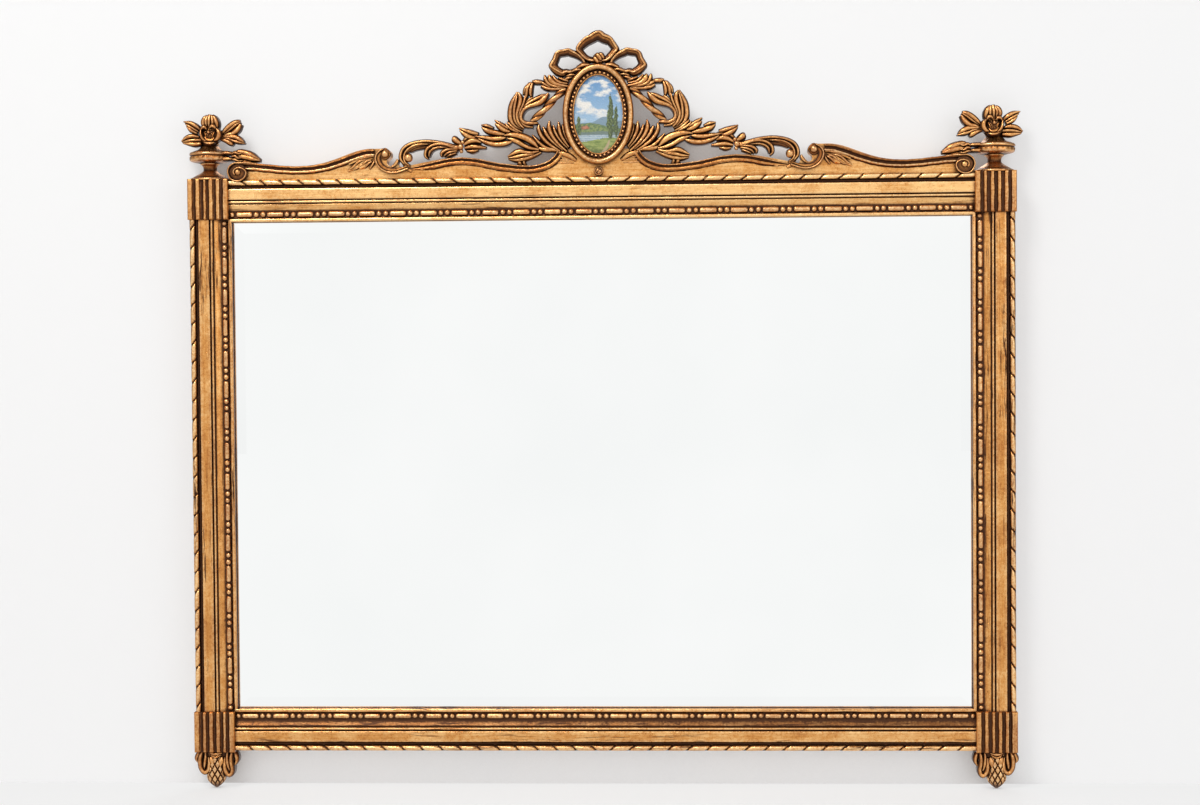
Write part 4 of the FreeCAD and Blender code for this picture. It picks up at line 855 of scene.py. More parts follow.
def crestLines():
    # stepped lines that frame the flat panel under the medallion
    shapes = []
    for rise, reach, high in ((27.8, 2, 25.6), (23.6, 5, 25.3), (19.6, 9, 25.0)):
        line = beyond([(9 + reach * 0.6, rise + 2.0), (3 - reach * 0.2, rise), (-14, rise - 0.5)])
        shapes.append(stroke(line, [0.7, 1.2, 0.8], high, 23.5, 1.4, 1.6, 7, 2.0, seed=12))
    return merged(shapes)


def inwards(points, distance):
    # points moved to the right-hand side of the way they run
    p = np.asarray(points, float)
    t = np.gradient(p, axis=0)
    t /= np.linalg.norm(t, axis=1)[:, None]
    return p + np.stack([t[:, 1], -t[:, 0]], 1) * distance


# ridges of the small sprig in front of each hook: (distance out, rise) points, half widths, height
sprigRidges = [
    ([(301.4, 31.8), (295.6, 30.9), (286.9, 30.8), (276.7, 32.7)], (0.7, 1.9, 1.9, 0.9), 28),
    ([(308.8, 22.5), (303, 26.8), (294.2, 28.8), (282.5, 27.8)], (0.6, 2, 2, 0.9), 27.5),
    ([(314, 12.7), (307.4, 15.7), (301.6, 21.1), (295.7, 25.4), (286.9, 26.7)],
     (0.6, 1.9, 1.9, 1.9, 0.9), 29),
    ([(311.1, 11.7), (301.6, 14.5), (295, 19.4), (291.3, 23.7)], (0.4, 1.4, 1.6, 0.7), 27.5),
    ([(294.3, 18), (290.6, 21.8), (285.5, 25.3), (279.7, 26.3)], (1.2, 2, 1.9, 0.9), 29),
    ([(290, 15.1), (286.3, 19.3), (281.9, 22.9), (277.5, 24.9)], (1.2, 1.9, 1.7, 0.7), 28.5),
    ([(282.7, 13.5), (279.5, 17.8), (276.5, 22.1), (273.8, 27.1)], (1.2, 1.7, 1.7, 0.9), 28),
]

bothSides("crest_edging", crestEdging(), gildedCarving, "scroll_moulding")
bothSides("crest_lines", crestLines(), gildedCarving)
sprig = carved(sprigRidges, 23.3, 20, rim=0.7, drop=2.0, crown=2.4, sunkShadePatina=0.8, full=1.0)
bothSides("crest_sprig", sprig, gildedCarving)
print("crest edging done")


tailRidges = [
    ([(231.3, 20), (236.6, 27.4), (236.2, 36.1), (232, 43.4), (224.1, 48.4), (213.9, 51.4),
      (200.8, 52.8), (184.9, 51.5), (168.9, 47.9), (154.5, 43.9)],
     (1.2, 1.7, 1.7, 1.7, 1.7, 1.6, 1.6, 1.6, 1.9, 1.7), 31),
    ([(224, 17.9), (229.9, 22.3), (231.9, 29), (230.1, 36.5), (224.2, 43), (215.4, 47.1), (205.2, 48.6),
      (196.5, 48.5)], (1, 1.3, 1.4, 1.4, 1.4, 1.4, 1.3, 0.7), 30),
    ([(196.7, 27), (200.5, 31.4), (199.8, 38.7), (195.8, 43.7), (189.3, 47.1), (180.5, 48.4),
      (171.8, 47.3), (163.2, 44.6), (153, 42.2)], (0.6, 1.4, 1.7, 1.7, 1.7, 1.7, 1.6, 1.6, 1.3), 31.5),
    ([(195.8, 29.9), (195.2, 35.6), (191.4, 40.6), (184.2, 43.6), (174.8, 43.9), (163.2, 42.3)],
     (0.7, 1.6, 1.7, 1.6, 1.4, 1.2), 28.5),
    ([(176.9, 30.4), (177.5, 34.3), (174, 38), (167.6, 40.4), (157.4, 41.4)],
     (0.9, 1.7, 1.9, 1.7, 1.3), 31),
    ([(174.3, 30), (170.8, 33.9), (164.7, 36.9), (154.5, 38.8)], (0.7, 1.4, 1.6, 1.3), 29.5),
    ([(170.6, 29.6), (164.7, 32.7), (156, 35.9)], (0.6, 1.4, 1.3), 28),
]
tieRidges = [
    ([(145, 46.6), (137, 51.5), (128.3, 52.9), (119.6, 50.2)], (1.4, 2.8, 2.9, 1.3), 31.5),
    ([(144.3, 42.2), (134.2, 44.3), (124, 43.7), (112.4, 42.6)], (1.4, 2.6, 2.2, 1), 30.5),
    ([(141.5, 38.6), (132.8, 37.9), (124, 39.6)], (0.9, 2, 1), 28.5),
    ([(161.9, 56.9), (159.3, 55.8), (154.4, 52.3), (148.6, 48.1)], (1.9, 3.3, 3.2, 2.2), 31),
    ([(145.7, 51.6), (141.3, 56.2), (134, 58.7), (126.8, 57.9)], (1.4, 1.9, 1.9, 1.2), 29),
    ([(163.2, 42), (155.9, 43.1), (148.6, 45.2)], (2.3, 3.5, 3.2), 29.5),
]
laurelRidges = [
    ([(151.3, 71.1), (143.4, 67.7), (134, 64.7), (123.8, 62.2)], (0.6, 1.9, 2.6, 2), 31),
    ([(150.6, 68.2), (144.1, 62.7), (136.2, 58.3), (128.2, 57.2)], (0.6, 2.5, 2.9, 1.7), 32),
    ([(119.4, 75.4), (110.7, 73.8), (102, 70.5)], (0.6, 2, 1.4), 30.5),
    ([(118.7, 72.2), (112.2, 67.8), (103.5, 64.8), (93.4, 62.5), (84.7, 61)],
     (0.6, 2.8, 3.2, 2.8, 1.3), 32),
    ([(99.7, 82), (93.3, 77.6), (86.1, 73.2), (80.3, 69.6)], (0.6, 2, 2, 1.4), 31),
    ([(99.1, 77), (93.3, 72.6), (86.1, 67.5), (77.5, 64.5)], (0.7, 2.8, 2.9, 1.7), 32.5),
    ([(81.7, 79.6), (75.9, 73.8), (68.7, 68), (60.1, 63.6)], (0.6, 1.6, 1.7, 1.3), 30.5),
    ([(84.6, 77.5), (78.9, 71), (71.7, 66.6), (61.6, 62.1)], (0.6, 1.7, 2, 1.4), 30),
    ([(126.8, 58.6), (115.2, 57), (102.2, 55), (90.6, 55.6), (83.3, 56.6)], (0.6, 2.2, 2.9, 2.8, 1), 31.5),
    ([(123.9, 55.7), (115.2, 51.3), (103.7, 47.8), (92.1, 47), (81.9, 48.7), (74.7, 50.8)],
     (0.6, 2, 2.6, 2.8, 2.8, 1), 32.5),
    ([(135.5, 59.4), (123.9, 58.6), (115.2, 54.4), (102.2, 51.4), (89.2, 51.1)],
     (1.7, 2.2, 2, 1.7, 1.2), 28),
    ([(86.2, 59.6), (76.1, 60.4), (64.5, 58.9), (52.9, 54.8), (44.3, 49), (37.2, 41.7)],
     (0.7, 2.6, 3.5, 3.9, 3.3, 1.2), 33),
    ([(82.6, 55.9), (74.7, 53.7), (66, 50), (57.4, 44.8), (47.3, 40.7), (35.7, 38.8)],
     (0.6, 2.5, 2.9, 2.6, 2.2, 1.3), 32),
    ([(40, 41.8), (27.1, 39), (15.5, 38.9), (5.4, 35.6)], (2.2, 2.9, 2.9, 2.3), 29),
    ([(81.4, 29.3), (71.9, 34.2), (64, 36.8), (56, 35.3), (47.3, 34.4), (35.8, 36.5)],
     (0.6, 2.3, 2.8, 2.2, 1.7, 1.2), 31.5),
    ([(80.7, 27.5), (70.5, 28.4), (61.8, 30.5), (53.2, 31.4), (43, 32.9)], (0.6, 2, 2.3, 1.9, 1), 30.5),
    ([(80.7, 25.8), (69.1, 24.5), (57.5, 26.1), (45.9, 29.4), (32.9, 35.2)],
     (0.6, 2.5, 2.9, 2.3, 1.4), 27.5),
    ([(66.9, 26.2), (64.8, 21.9), (63.4, 15.4)], (2.6, 2.3, 4.3), 26),
    ([(57.5, 27.6), (58.3, 21.8), (56.9, 15.3)], (1.7, 1.7, 2.9), 25.5),
]
palmetteRidges = [
    ([(35.4, 75.5), (36.2, 69), (33.4, 60.4), (26.9, 51.7), (18.3, 44.4), (5.4, 36.3)],
     (0.7, 2.2, 2.3, 2.2, 1.9, 1.4), 31),
    ([(29.7, 71.8), (26.1, 63.2), (20.4, 54.5), (12.5, 46.5), (1.1, 37.7)],
     (1.2, 2.6, 2.2, 1.7, 1.3), 29.5),
    ([(20.2, 80.3), (21, 71.7), (18.9, 63.1), (13.9, 54.4), (6.8, 45.7), (-4.7, 35.5)],
     (0.7, 2.5, 2.5, 2.2, 1.7, 1.3), 32),
    ([(15.2, 73.8), (13.1, 65.9), (8.8, 57.2), (2.4, 48.5), (-6.2, 39.8)], (0.9, 2, 1.9, 1.4, 1.2), 29.5),
    ([(7.2, 78.7), (6.6, 70.1), (4.5, 61.5), (0.2, 52.8), (-7.7, 41.9)], (0.7, 2.3, 2.3, 2, 1.4), 32),
    ([(1.5, 75.1), (0.1, 65.7), (-3.4, 55.6), (-10.6, 44)], (1, 1.7, 1.7, 1.4), 29.5),
    ([(45.7, 60.5), (39.9, 53.3), (34.2, 47.4), (27, 42.3), (18.4, 39.3), (5.4, 35.6)],
     (0.7, 2, 2.2, 2, 1.7, 1.3), 29.5),
    ([(11.2, 36.4), (2.5, 33.4), (-7.6, 29.7), (-17.6, 23.1)], (2, 3.2, 3.5, 2.9), 28),
]
acanthusRidges = [
    ([(58.6, 67.9), (71.6, 73.8), (76.6, 83.9), (77.2, 94), (75.7, 102.6), (72, 111.2), (66.8, 122.6)],
     (1.7, 2.9, 3.2, 2.9, 2.9, 2.6, 0.9), 27),
    ([(73, 78.1), (77.5, 88.2), (78.9, 96.2)], (1.4, 2, 0.7), 26.5),
    ([(74.3, 91.1), (76.7, 98.3), (75.8, 105.2)], (1.4, 2, 0.7), 27),
    ([(62.9, 70.8), (70.1, 80.9), (71.4, 91), (70.6, 101.1), (68.4, 111.1), (66.1, 121.1)],
     (1.4, 1.9, 2, 2, 1.7, 0.7), 30),
    ([(66, 121.7), (62.8, 116.1), (62.2, 109.6), (63.4, 103.9), (65.6, 96.7), (67.4, 89.5), (66.5, 82.3),
      (62.9, 75.1), (57.2, 69.3)], (0.9, 2.3, 2.8, 2.6, 2.2, 1.9, 2, 1.9, 1.2), 32),
    ([(54.6, 119.6), (56.1, 111), (59, 102.4), (62.7, 93.8), (63.8, 85.2), (60.7, 78), (54.2, 72.8),
      (44.1, 71.3)], (0.9, 1.6, 1.7, 1.7, 1.7, 1.7, 1.7, 1.2), 30.5),
    ([(21.3, 119.9), (27.2, 112.8), (33.7, 106.7), (41.7, 103.6), (49.7, 101.1), (55.5, 97.7),
      (59.9, 92.3), (61.4, 86.6), (60.7, 81.8), (57.4, 78.6), (52, 76.7), (44.1, 76.6), (36.9, 76.9)],
     (0.9, 3.2, 3.3, 2.8, 2.3, 2, 2, 2, 2.2, 2.2, 2.2, 1.9, 1.2), 33),
    ([(23.5, 118.4), (32.2, 115.3), (40.9, 111.1), (48.2, 107.3), (54, 103), (57.6, 98)],
     (0.9, 2.2, 2.3, 2.2, 1.7, 1.2), 31),
    ([(43.8, 114.4), (49.6, 110.9), (54.7, 105.2)], (0.9, 1.6, 1.2), 30),
    ([(44.3, 135.2), (46.5, 128.1), (47.6, 120.9), (46.6, 115.2)], (1.4, 2, 2.3, 1.2), 31),
    ([(46.5, 136), (51.6, 128.1), (53.1, 121), (53.9, 113.8)], (1.2, 2.2, 2.2, 1.2), 31),
    ([(48.6, 135.3), (55.2, 126.8), (57.5, 118.2)], (1.2, 1.6, 1.2), 29.5),
    ([(45.7, 137.4), (40.7, 136.6), (33.5, 136.2), (26.2, 135)], (1.4, 2.6, 2.5, 2), 27.5),
]
ringSideRidges = [
    ([(20.4, 145.7), (19, 140.6), (16.1, 136.3), (10.4, 132.6), (1.7, 130.4), (-8.4, 128.8)],
     (1.2, 3.2, 3.3, 2.5, 1.9, 1.7), 33),
    ([(26.7, 145.8), (25.5, 140), (21.9, 134.2), (16.2, 130.6), (7.5, 128.7), (-4, 127.7)],
     (0.9, 2.2, 2.2, 1.9, 1.7, 1.2), 31.5),
    ([(15.3, 145.2), (11, 139.1), (4.6, 134.7), (-6.9, 132.8)], (0.9, 2, 2, 1.4), 31.5),
    ([(32.7, 137.2), (29.1, 134.3), (21.9, 130.2), (14.8, 127.7)], (1.2, 1.9, 1.7, 1.2), 29),
    ([(32.1, 130.8), (24.9, 127.1), (16.2, 125.8), (4.7, 125.7), (-6.9, 126.7)],
     (1.7, 2.3, 2.3, 2, 1.4), 29.5),
    ([(-1.2, 138.2), (-7, 141), (-14.2, 142.4)], (1.7, 2.3, 1.4), 31),
    ([(7.4, 141.9), (0.2, 139), (-8.4, 136)], (0.9, 1.7, 1.4), 30.5),
]
scrollTail = {"ball": (-275.7, 919.3), "ballRadius": 6.6, "tieBall": (-199.3, 933.8)}


def tailShape():
    p = scrollTail
    x, z = p["ball"]
    tx, tz = p["tieBall"]
    # faces between the lips of the scroll, darkened with patina and painted shade: points, half widths,
    # height, back, fullness, darkness
    faces = [
        ([(224, 15.5), (231.5, 21), (233, 30), (228, 38.5), (219, 44.6), (205, 48.6), (190, 49.4)],
         [2.0, 3.6, 3.4, 3.4, 3.2, 3.0, 2.0], 26.6, 10.4, 2.6, 0.65),
        ([(223.5, 38), (214, 42.5), (203, 44.5), (193, 44), (184, 44.5)],
         [1.6, 2.8, 3.2, 2.6, 1.4], 25.5, 10.8, 2.4, 0.95),
        ([(150, 45), (160, 45), (172, 45.8), (184, 46.6)], [4.0, 3.6, 3.2, 2.0], 27.0, 11.2, 2.4, 0.7),
    ]
    between = [stroke(beyond(line), half, high, back, 3.0, 1.8, 11, square, seed=30 + i, tone=tone)
               for i, (line, half, high, back, square, tone) in enumerate(faces)]
    balls = [ballShape(x, 25.0, z, p["ballRadius"], 1.0, 5, 14, 22, 0.45),
             ballShape(tx, 28.0, tz, 4.6, 1.0, 6, 12, 18, 0.5),
             ballShape(tx + 3.0, 28.4, tz + 6.6, 3.0, 1.0, 7, 10, 16, 0.5),
             ballShape(tx + 1.0, 26.8, tz - 6.4, 2.8, 1.0, 8, 10, 16, 0.5)]
    line = beyond([(233, 21), (228, 13.6), (221, 9.5)])
    foot = stroke(line, [2.0, 3.2, 2.6], 25.6, 11.6, 3.2, pitch=1.2, across=11, seed=46, tone=0.3)
    tail = carved(tailRidges, 9, 33, rim=1.1, drop=3.2, crown=2.8, sunkShadePatina=0.7, full=1.12)
    return merged([tail, *between, *balls, foot, carved(tieRidges, 10, 60, rim=1.2)])


def ropeShape():
    line = beyond([(47, 79), (40, 85), (31, 92.5), (22.5, 101.5), (13.7, 111), (5, 119), (-4, 125)])
    route = [(x, h, z) for (x, z), h in zip(line, (24, 25, 25.5, 25.5, 25.5, 25, 24))]
    radii = [4.4, 5.6, 6.0, 6.0, 6.0, 5.8, 5.0]
    return twistedTube(route, radii, pitch=0.8, around=26, twist=24.0, lobes=2, depth=0.5, seed=6)


def palmetteShape():
    # a web joins the ribs behind, darkened with patina and painted shade
    line = beyond([(31, 62), (18, 55), (5, 46), (-6, 38)])
    web = stroke(line, [10.0, 12.5, 12.0, 8.0], 22.5, back=12.5, crown=3.0, pitch=2.2, across=13, square=3.0,
                 seed=79, tone=1.0)
    return merged([web, carved(palmetteRidges, 10, 80)])


pierced = {
    "tail_scroll": (tailShape(), "scroll_tail"), "laurel": (carved(laurelRidges, 9.5, 120), "laurel_branch"),
    "palmette_fan": (palmetteShape(), "palmette"),
    "acanthus": (carved(acanthusRidges + ringSideRidges, 10, 160), "acanthus_leaf"),
    "twisted_rope": (ropeShape(), "rope"),
}
for name, (shape, node) in pierced.items():
    bothSides(name, shape, gildedCarving, node)
print("pierced work done")


medallion = {"halfWidth": 51.3, "halfHeight": 72.2, "around": 150,
             "pearls": 50, "pearlInset": 11.9, "pearlSize": 2.45}
# inset from the outside, height, darkness: patina and painted shade above 0, a painted highlight below 0
ringProfile = [
    (1.4, 22.0, 1.0), (0.5, 26.0, 0.9), (0.0, 30.0, 0.75), (0.0, 33.2, 0.6), (0.8, 35.8, 0.35),
    (2.4, 37.5, -0.15), (4.4, 38.0, -0.6), (6.2, 37.2, -0.35), (7.6, 35.4, 0.2), (8.4, 33.4, 0.8),
    (8.8, 31.2, 1.2), (9.2, 29.8, 1.35), (9.8, 29.2, 0.9), (11.9, 29.3, 0.6), (13.8, 29.2, 0.7),
    (14.5, 29.5, 0.5), (15.2, 29.9, -0.2), (15.9, 29.4, 0.0), (16.2, 28.2, 0.8), (16.3, 26.6, 1.2),
    (16.3, 24.2, 1.2), (8.0, 22.0, 1.0)]


def ringShape():
    p = medallion
    rings, shadeAndPatina, grain = [], [], []
    for i in range(p["around"]):
        a = 2 * math.pi * i / p["around"]
        uneven = 0.22 * math.sin(5 * a + 1) + 0.16 * math.sin(11 * a)
        for inset, height, dark in ringProfile:
            level = min(height + uneven * (height > 25), 38.0)
            rings.append(((p["halfWidth"] - inset) * math.cos(a), heightToY(level),
                          medallionZ + (p["halfHeight"] - inset) * math.sin(a)))
            shadeAndPatina.append(dark)
            grain.append((a * 60, inset, height))
    count = len(ringProfile)
    return ringStack(np.array(rings).reshape(-1, count, 3), np.array(shadeAndPatina), np.array(grain), closed=True)


def pearlsShape():
    p = medallion
    fine = np.linspace(0, 2 * math.pi, 2001)
    a, b = p["halfWidth"] - p["pearlInset"], p["halfHeight"] - p["pearlInset"]
    line = np.stack([a * np.sin(fine), b * np.cos(fine)], 1)
    gone = np.concatenate([[0], np.cumsum(np.linalg.norm(np.diff(line, axis=0), axis=1))])
    draw = np.random.default_rng(5)
    shapes = []
    for i in range(p["pearls"]):
        at = gone[-1] * (i + 0.5) / p["pearls"]
        x, z = np.interp(at, gone, line[:, 0]), np.interp(at, gone, line[:, 1])
        size = p["pearlSize"] * draw.uniform(0.93, 1.06)
        shapes.append(ballShape(x + draw.normal(0, 0.12), 30.0, medallionZ + z, size, 1.0, i, 8, 12, 0.9))
    return merged(shapes)


def fbm(x, z, scale, seed, octaves=5):
    # soft cloudy values between about -1 and 1, from sines turned by random angles
    draw = np.random.default_rng(seed)
    total, weight = np.zeros_like(x), 0.0
    for octave in range(octaves):
        share = 0.6 ** octave
        for _ in range(4):
            turn, phase, bend = draw.uniform(0, 2 * math.pi, 3)
            f = scale * 1.9 ** octave * draw.uniform(0.8, 1.2)
            u = x * math.cos(turn) + z * math.sin(turn)
            v = -x * math.sin(turn) + z * math.cos(turn)
            total += share * np.sin(f * u + phase + 1.3 * np.sin(0.7 * f * v + bend))
        weight += share * 2.0
    return total / weight


def mixTo(base, colour, share):
    share = np.clip(share, 0, 1)[..., None]
    return base * (1 - share) + np.array(colour) * share


def paintedScene(x, z):
    # a calm lakeside: hills, water, reeds, a pair of poplars on the right; x and z in mm from the middle
    up = z / 56.0
    sky = mixTo(np.zeros(x.shape + (3,)) + (0.20, 0.42, 0.70), (0.50, 0.68, 0.84), 0.75 - up * 0.9)
    puffs = fbm(x, z * 1.9, 0.105, 3, 6) + 0.10
    cloud = np.clip((puffs - 0.02) * 3.2, 0, 1) * np.clip((up + 0.25) * 3, 0, 1)
    sky = mixTo(sky, (0.80, 0.83, 0.86), cloud * 0.9)
    lit = np.clip((fbm(x, z * 1.9 - 1.5, 0.105, 3, 6) - 0.12) * 3.4, 0, 1)
    picture = mixTo(sky, (0.95, 0.94, 0.90), lit * cloud)
    touch = fbm(x, z, 0.9, 9, 4)
    farHill = -9 + 4.5 * np.sin(x * 0.085 + 0.6) + 1.5 * np.sin(x * 0.21)
    picture = mixTo(picture, (0.30, 0.42, 0.52), (farHill - z) * 1.2)
    nearHill = -16 + 4.0 * np.sin(x * 0.07 + 2.6) + 0.9 * fbm(x, z * 0, 0.3, 21, 3)
    picture = mixTo(picture, (0.17, 0.27, 0.14), (nearHill - z) * 1.6)
    picture = mixTo(picture, (0.33, 0.40, 0.17), (nearHill - z) * 0.8 * np.clip(touch + 0.2, 0, 1))
    russet = np.exp(-(((x + 19) / 7.5) ** 2 + ((z + 19) / 3.4) ** 2)) * 1.5 + 0.35 * touch
    picture = mixTo(picture, (0.42, 0.16, 0.10), (russet - 0.62) * 3)
    picture = mixTo(picture, (0.62, 0.31, 0.20), (russet - 0.95) * 3)
    shore = -25 + 0.8 * np.sin(x * 0.16 + 1)
    ripples = 0.5 + 0.6 * np.sin(z * 2.4 + 1.6 * touch)
    water = mixTo(picture * 0 + (0.36, 0.50, 0.60), (0.66, 0.74, 0.78), ripples)
    water = mixTo(water, (0.14, 0.20, 0.15), np.clip((z + 30.5) * 0.4 + 0.3 * touch, 0, 0.75))
    picture = np.where((z > shore)[..., None], picture, water)
    bank = -37 + 3.2 * np.sin(x * 0.06 + 0.4) + 0.8 * touch
    tufts = 0.5 + 0.8 * fbm(x, z * 3.0, 0.25, 14, 4)
    meadow = mixTo(picture * 0 + (0.24, 0.33, 0.10), (0.50, 0.56, 0.22), tufts)
    meadow = mixTo(meadow, (0.16, 0.20, 0.07), np.clip(-(z + 47) * 0.12 + 0.5 * touch, 0, 0.8))
    path = np.abs(x - (6 + 10 * np.sin((z + 56) * 0.07))) / (1.2 + (-36 - z) * 0.13)
    meadow = mixTo(meadow, (0.60, 0.50, 0.33), (1.1 - path) * 2.2 * (z < -37))
    picture = np.where((z < bank)[..., None], meadow, picture)
    poplars = ((17.5, 4.6, -35, 27, 5), (25.5, 3.6, -33, 12, 8), (-27.5, 3.2, -30, -2, 12))
    for middle, half, foot, tip, seed in poplars:
        rise = np.clip((z - foot) / (tip - foot), 0, 1)
        body = half * (np.sin(math.pi * np.clip(rise, 0.04, 1) ** 0.75) ** 0.6 + 0.12)
        body = body + 1.3 * fbm(x, z, 0.55, seed, 4)
        crown = np.clip((body - np.abs(x - middle - 0.8 * np.sin(z * 0.12))) * 1.3, 0, 1)
        crown = crown * (z > foot) * (z < tip + 2)
        picture = mixTo(picture, (0.075, 0.12, 0.055), crown)
        leafy = np.clip(fbm(x, z, 1.3, seed + 1, 3) * 2.2 + (middle - x) * 0.10, 0, 1)
        picture = mixTo(picture, (0.26, 0.34, 0.13), crown * leafy * 0.9)
    reeds = np.clip(np.sin(x * 2.3 + 2 * fbm(x, z * 0.15, 0.5, 30, 3)) - (z - bank) * 0.28, 0, 1)
    reeds = reeds * (z > bank) * (z < bank + 7)
    picture = mixTo(picture, (0.20, 0.21, 0.09), reeds * 0.75 * (np.abs(x + 6) > 9))
    grainy = 1 + 0.10 * fbm(x, z, 2.1, 40, 3) + 0.05 * touch
    return np.clip(picture ** 1.25 * 0.92 * grainy[..., None], 0.01, 1)


def panelPiece():
    step, a, b = 0.55, 36.0, 56.9
    xs, zs = np.arange(-66, 67) * step, np.arange(-106, 107) * step
    x, z = np.meshgrid(xs, zs, indexing="ij")
    # squares of the grid pulled into the oval
    square = np.stack([x / xs[-1], z / zs[-1]], 2)
    disc = np.stack([square[..., 0] * np.sqrt(1 - square[..., 1] ** 2 / 2),
                     square[..., 1] * np.sqrt(1 - square[..., 0] ** 2 / 2)], 2)
    x, z = disc[..., 0] * a, disc[..., 1] * b
    bulge = 1.0 * (1 - (disc ** 2).sum(2))
    front = np.stack([x, heightToY(25.9 + bulge), medallionZ + z], 2).reshape(-1, 3)
    rows, columns = x.shape
    faces = gridFaces(rows, columns, closeColumns=False)
    loop = gridRim(rows, columns)
    rear = front[loop].copy()
    rear[:, 1] = heightToY(24.2)
    base = rows * columns
    for i in range(len(loop)):
        j = (i + 1) % len(loop)
        faces.append([loop[i], loop[j], base + j, base + i])
    faces.append(list(range(base, base + len(loop)))[::-1])
    points = np.vstack([front, rear])
    shape = (points, faces, np.zeros(len(points)), np.zeros((len(points), 3)))
    piece = addPiece("painted_oval", shape, paintedPanel, ["medallion_panel"])
    colours = paintedScene(points[:, 0], points[:, 2] - medallionZ)
    rgba = np.column_stack([colours, np.ones(len(points))]).astype(np.float32)
    layer = piece.data.color_attributes.new("paint", "FLOAT_COLOR", "POINT")
    layer.data.foreach_set("color", rgba.ravel())


def paintMaterial():
    # oil paint under an old varnish: brush ridges, a slight yellow film and fine crazing
    n = newMaterial("painted_panel")
    paint = n.add("Attribute", attribute_name="paint").outputs["Color"]
    place = n.add("TexCoord").outputs["Object"]
    dabs = n.noise(n.stretched(place, (900, 900, 500)), 1.0, 4.0, 0.6, 0.5)
    varied = n.blend(n.ramp(dabs, [(0.35, 0.0), (0.7, 0.10)]), paint, (0.62, 0.56, 0.42, 1))
    n.put(varied, n.shader.inputs["Base Color"])
    n.put(n.ramp(dabs, [(0.3, 0.42), (0.7, 0.58)]), n.shader.inputs["Roughness"])
    n.shader.inputs["Coat Weight"].default_value = 0.25
    n.shader.inputs["Coat Roughness"].default_value = 0.2
    n.put(n.bump(dabs, 0.35, 0.0004), n.shader.inputs["Normal"])
    return n.owner


def crestScrewShape():
    # dished collar, and a domed head with its slot at a slant
    middle = 897.2
    rings, shadeAndPatina, grain = [], [], []
    profile = [(6.6, 24.0, 1.0), (6.6, 26.6, 0.3), (6.0, 28.0, -0.3), (5.2, 28.5, -0.4), (4.7, 28.0, 0.2),
               (4.4, 26.9, 1.1), (4.2, 27.2, 0.9), (4.0, 28.1, 0.1), (3.3, 28.8, -0.3), (2.2, 29.1, -0.4),
               (1.1, 29.2, -0.4), (0.05, 29.2, -0.4)]
    count = 40
    for radius, height, dark in profile:
        for j in range(count):
            a = 2 * math.pi * j / count
            x, z = radius * math.cos(a), radius * math.sin(a)
            along = abs(x * math.sin(0.8) - z * math.cos(0.8))
            inSlot = along < 0.62 and radius < 3.9
            rings.append((x, heightToY(height - (1.3 if inSlot else 0)), middle + z))
            # the slot darkens with patina and painted shade
            shadeAndPatina.append(1.2 if inSlot else dark)
            grain.append((a * 4, radius, height))
    return ringStack(np.array(rings).reshape(len(profile), count, 3), np.array(shadeAndPatina), np.array(grain))


paintedPanel = paintMaterial()
addPiece("medallion_frame", ringShape(), gildedCarving, ["medallion_ring"])
addPiece("medallion_pearls", pearlsShape(), gildedCarving, ["medallion_beads"])
addPiece("crest_slotted_screw", crestScrewShape(), gildedCarving, ["crest_screw"])
panelPiece()
print("medallion done")


bow = {
    # ridge of the ribbon, then how far the ribbon reaches out and in from it
    "top": ([(-9.2, 5), (-17.9, 8.7), (-25, 15.9), (-29.4, 21), (-27.4, 26.7), (-21.8, 33), (-16, 37.6),
             (-10, 40.1), (-6, 42.8), (-1, 45.4), (4, 45), (9, 40.4), (14, 38.8), (19.1, 36.1), (22.6, 30.3),
             (26.2, 24.5), (27.6, 20.9), (23.9, 16), (18.9, 10.3), (13.8, 6.1), (8, 4.7)],
            [(3.3, 6), (2.2, 6), (2.0, 6.3), (2.0, 8), (2.0, 8), (2.0, 9.2), (2.4, 10), (3.6, 9.7),
             (3.8, 10.4), (3.4, 11.6), (3.6, 11.6), (4.4, 9.8), (3.8, 10), (2.8, 9.6), (3.3, 7.9),
             (3.6, 6.9), (3.6, 8), (3.7, 7.2), (3.8, 6.9), (3.3, 6.5), (3.1, 6.3)]),
    "side": ([(-37.9, 19), (-42.2, 21.2), (-49.5, 19.8), (-56, 18.5), (-60.3, 15), (-62.5, 7.8), (-66.2, 1.4),
              (-67.9, -1.8), (-63.4, -5.8), (-57.6, -9.4), (-51.2, -12.4), (-45.4, -10.3), (-39.6, -10.8),
              (-29.5, -6.2), (-19.3, 1.5), (-26.5, 12.4)],
             [(3.4, 7.4), (2.6, 8), (2.7, 7.6), (2.5, 7.5), (3, 7.4), (3.6, 6.4), (3.6, 8.2), (3.4, 9.6),
              (5, 8.4), (6.4, 6.6), (5.2, 6.6), (4.4, 4.8), (3.4, 4.2), (3.7, 3.1), (3.1, 2.6), (4.3, 5.5)]),
    "ridgeHalf": 2.1,
    "twists": [([(-11, -1.6), (-20.5, -1.9), (-30, -5.6)], [1.6, 2.2, 1.4], 35.5),
               ([(-21, -8.6), (-30.5, -8.2), (-38.5, -11.2)], [1.2, 1.9, 1.3], 34.0),
               ([(-30, -16), (-38, -15), (-45.5, -16.8)], [1.0, 1.6, 1.0], 32.0)],
}


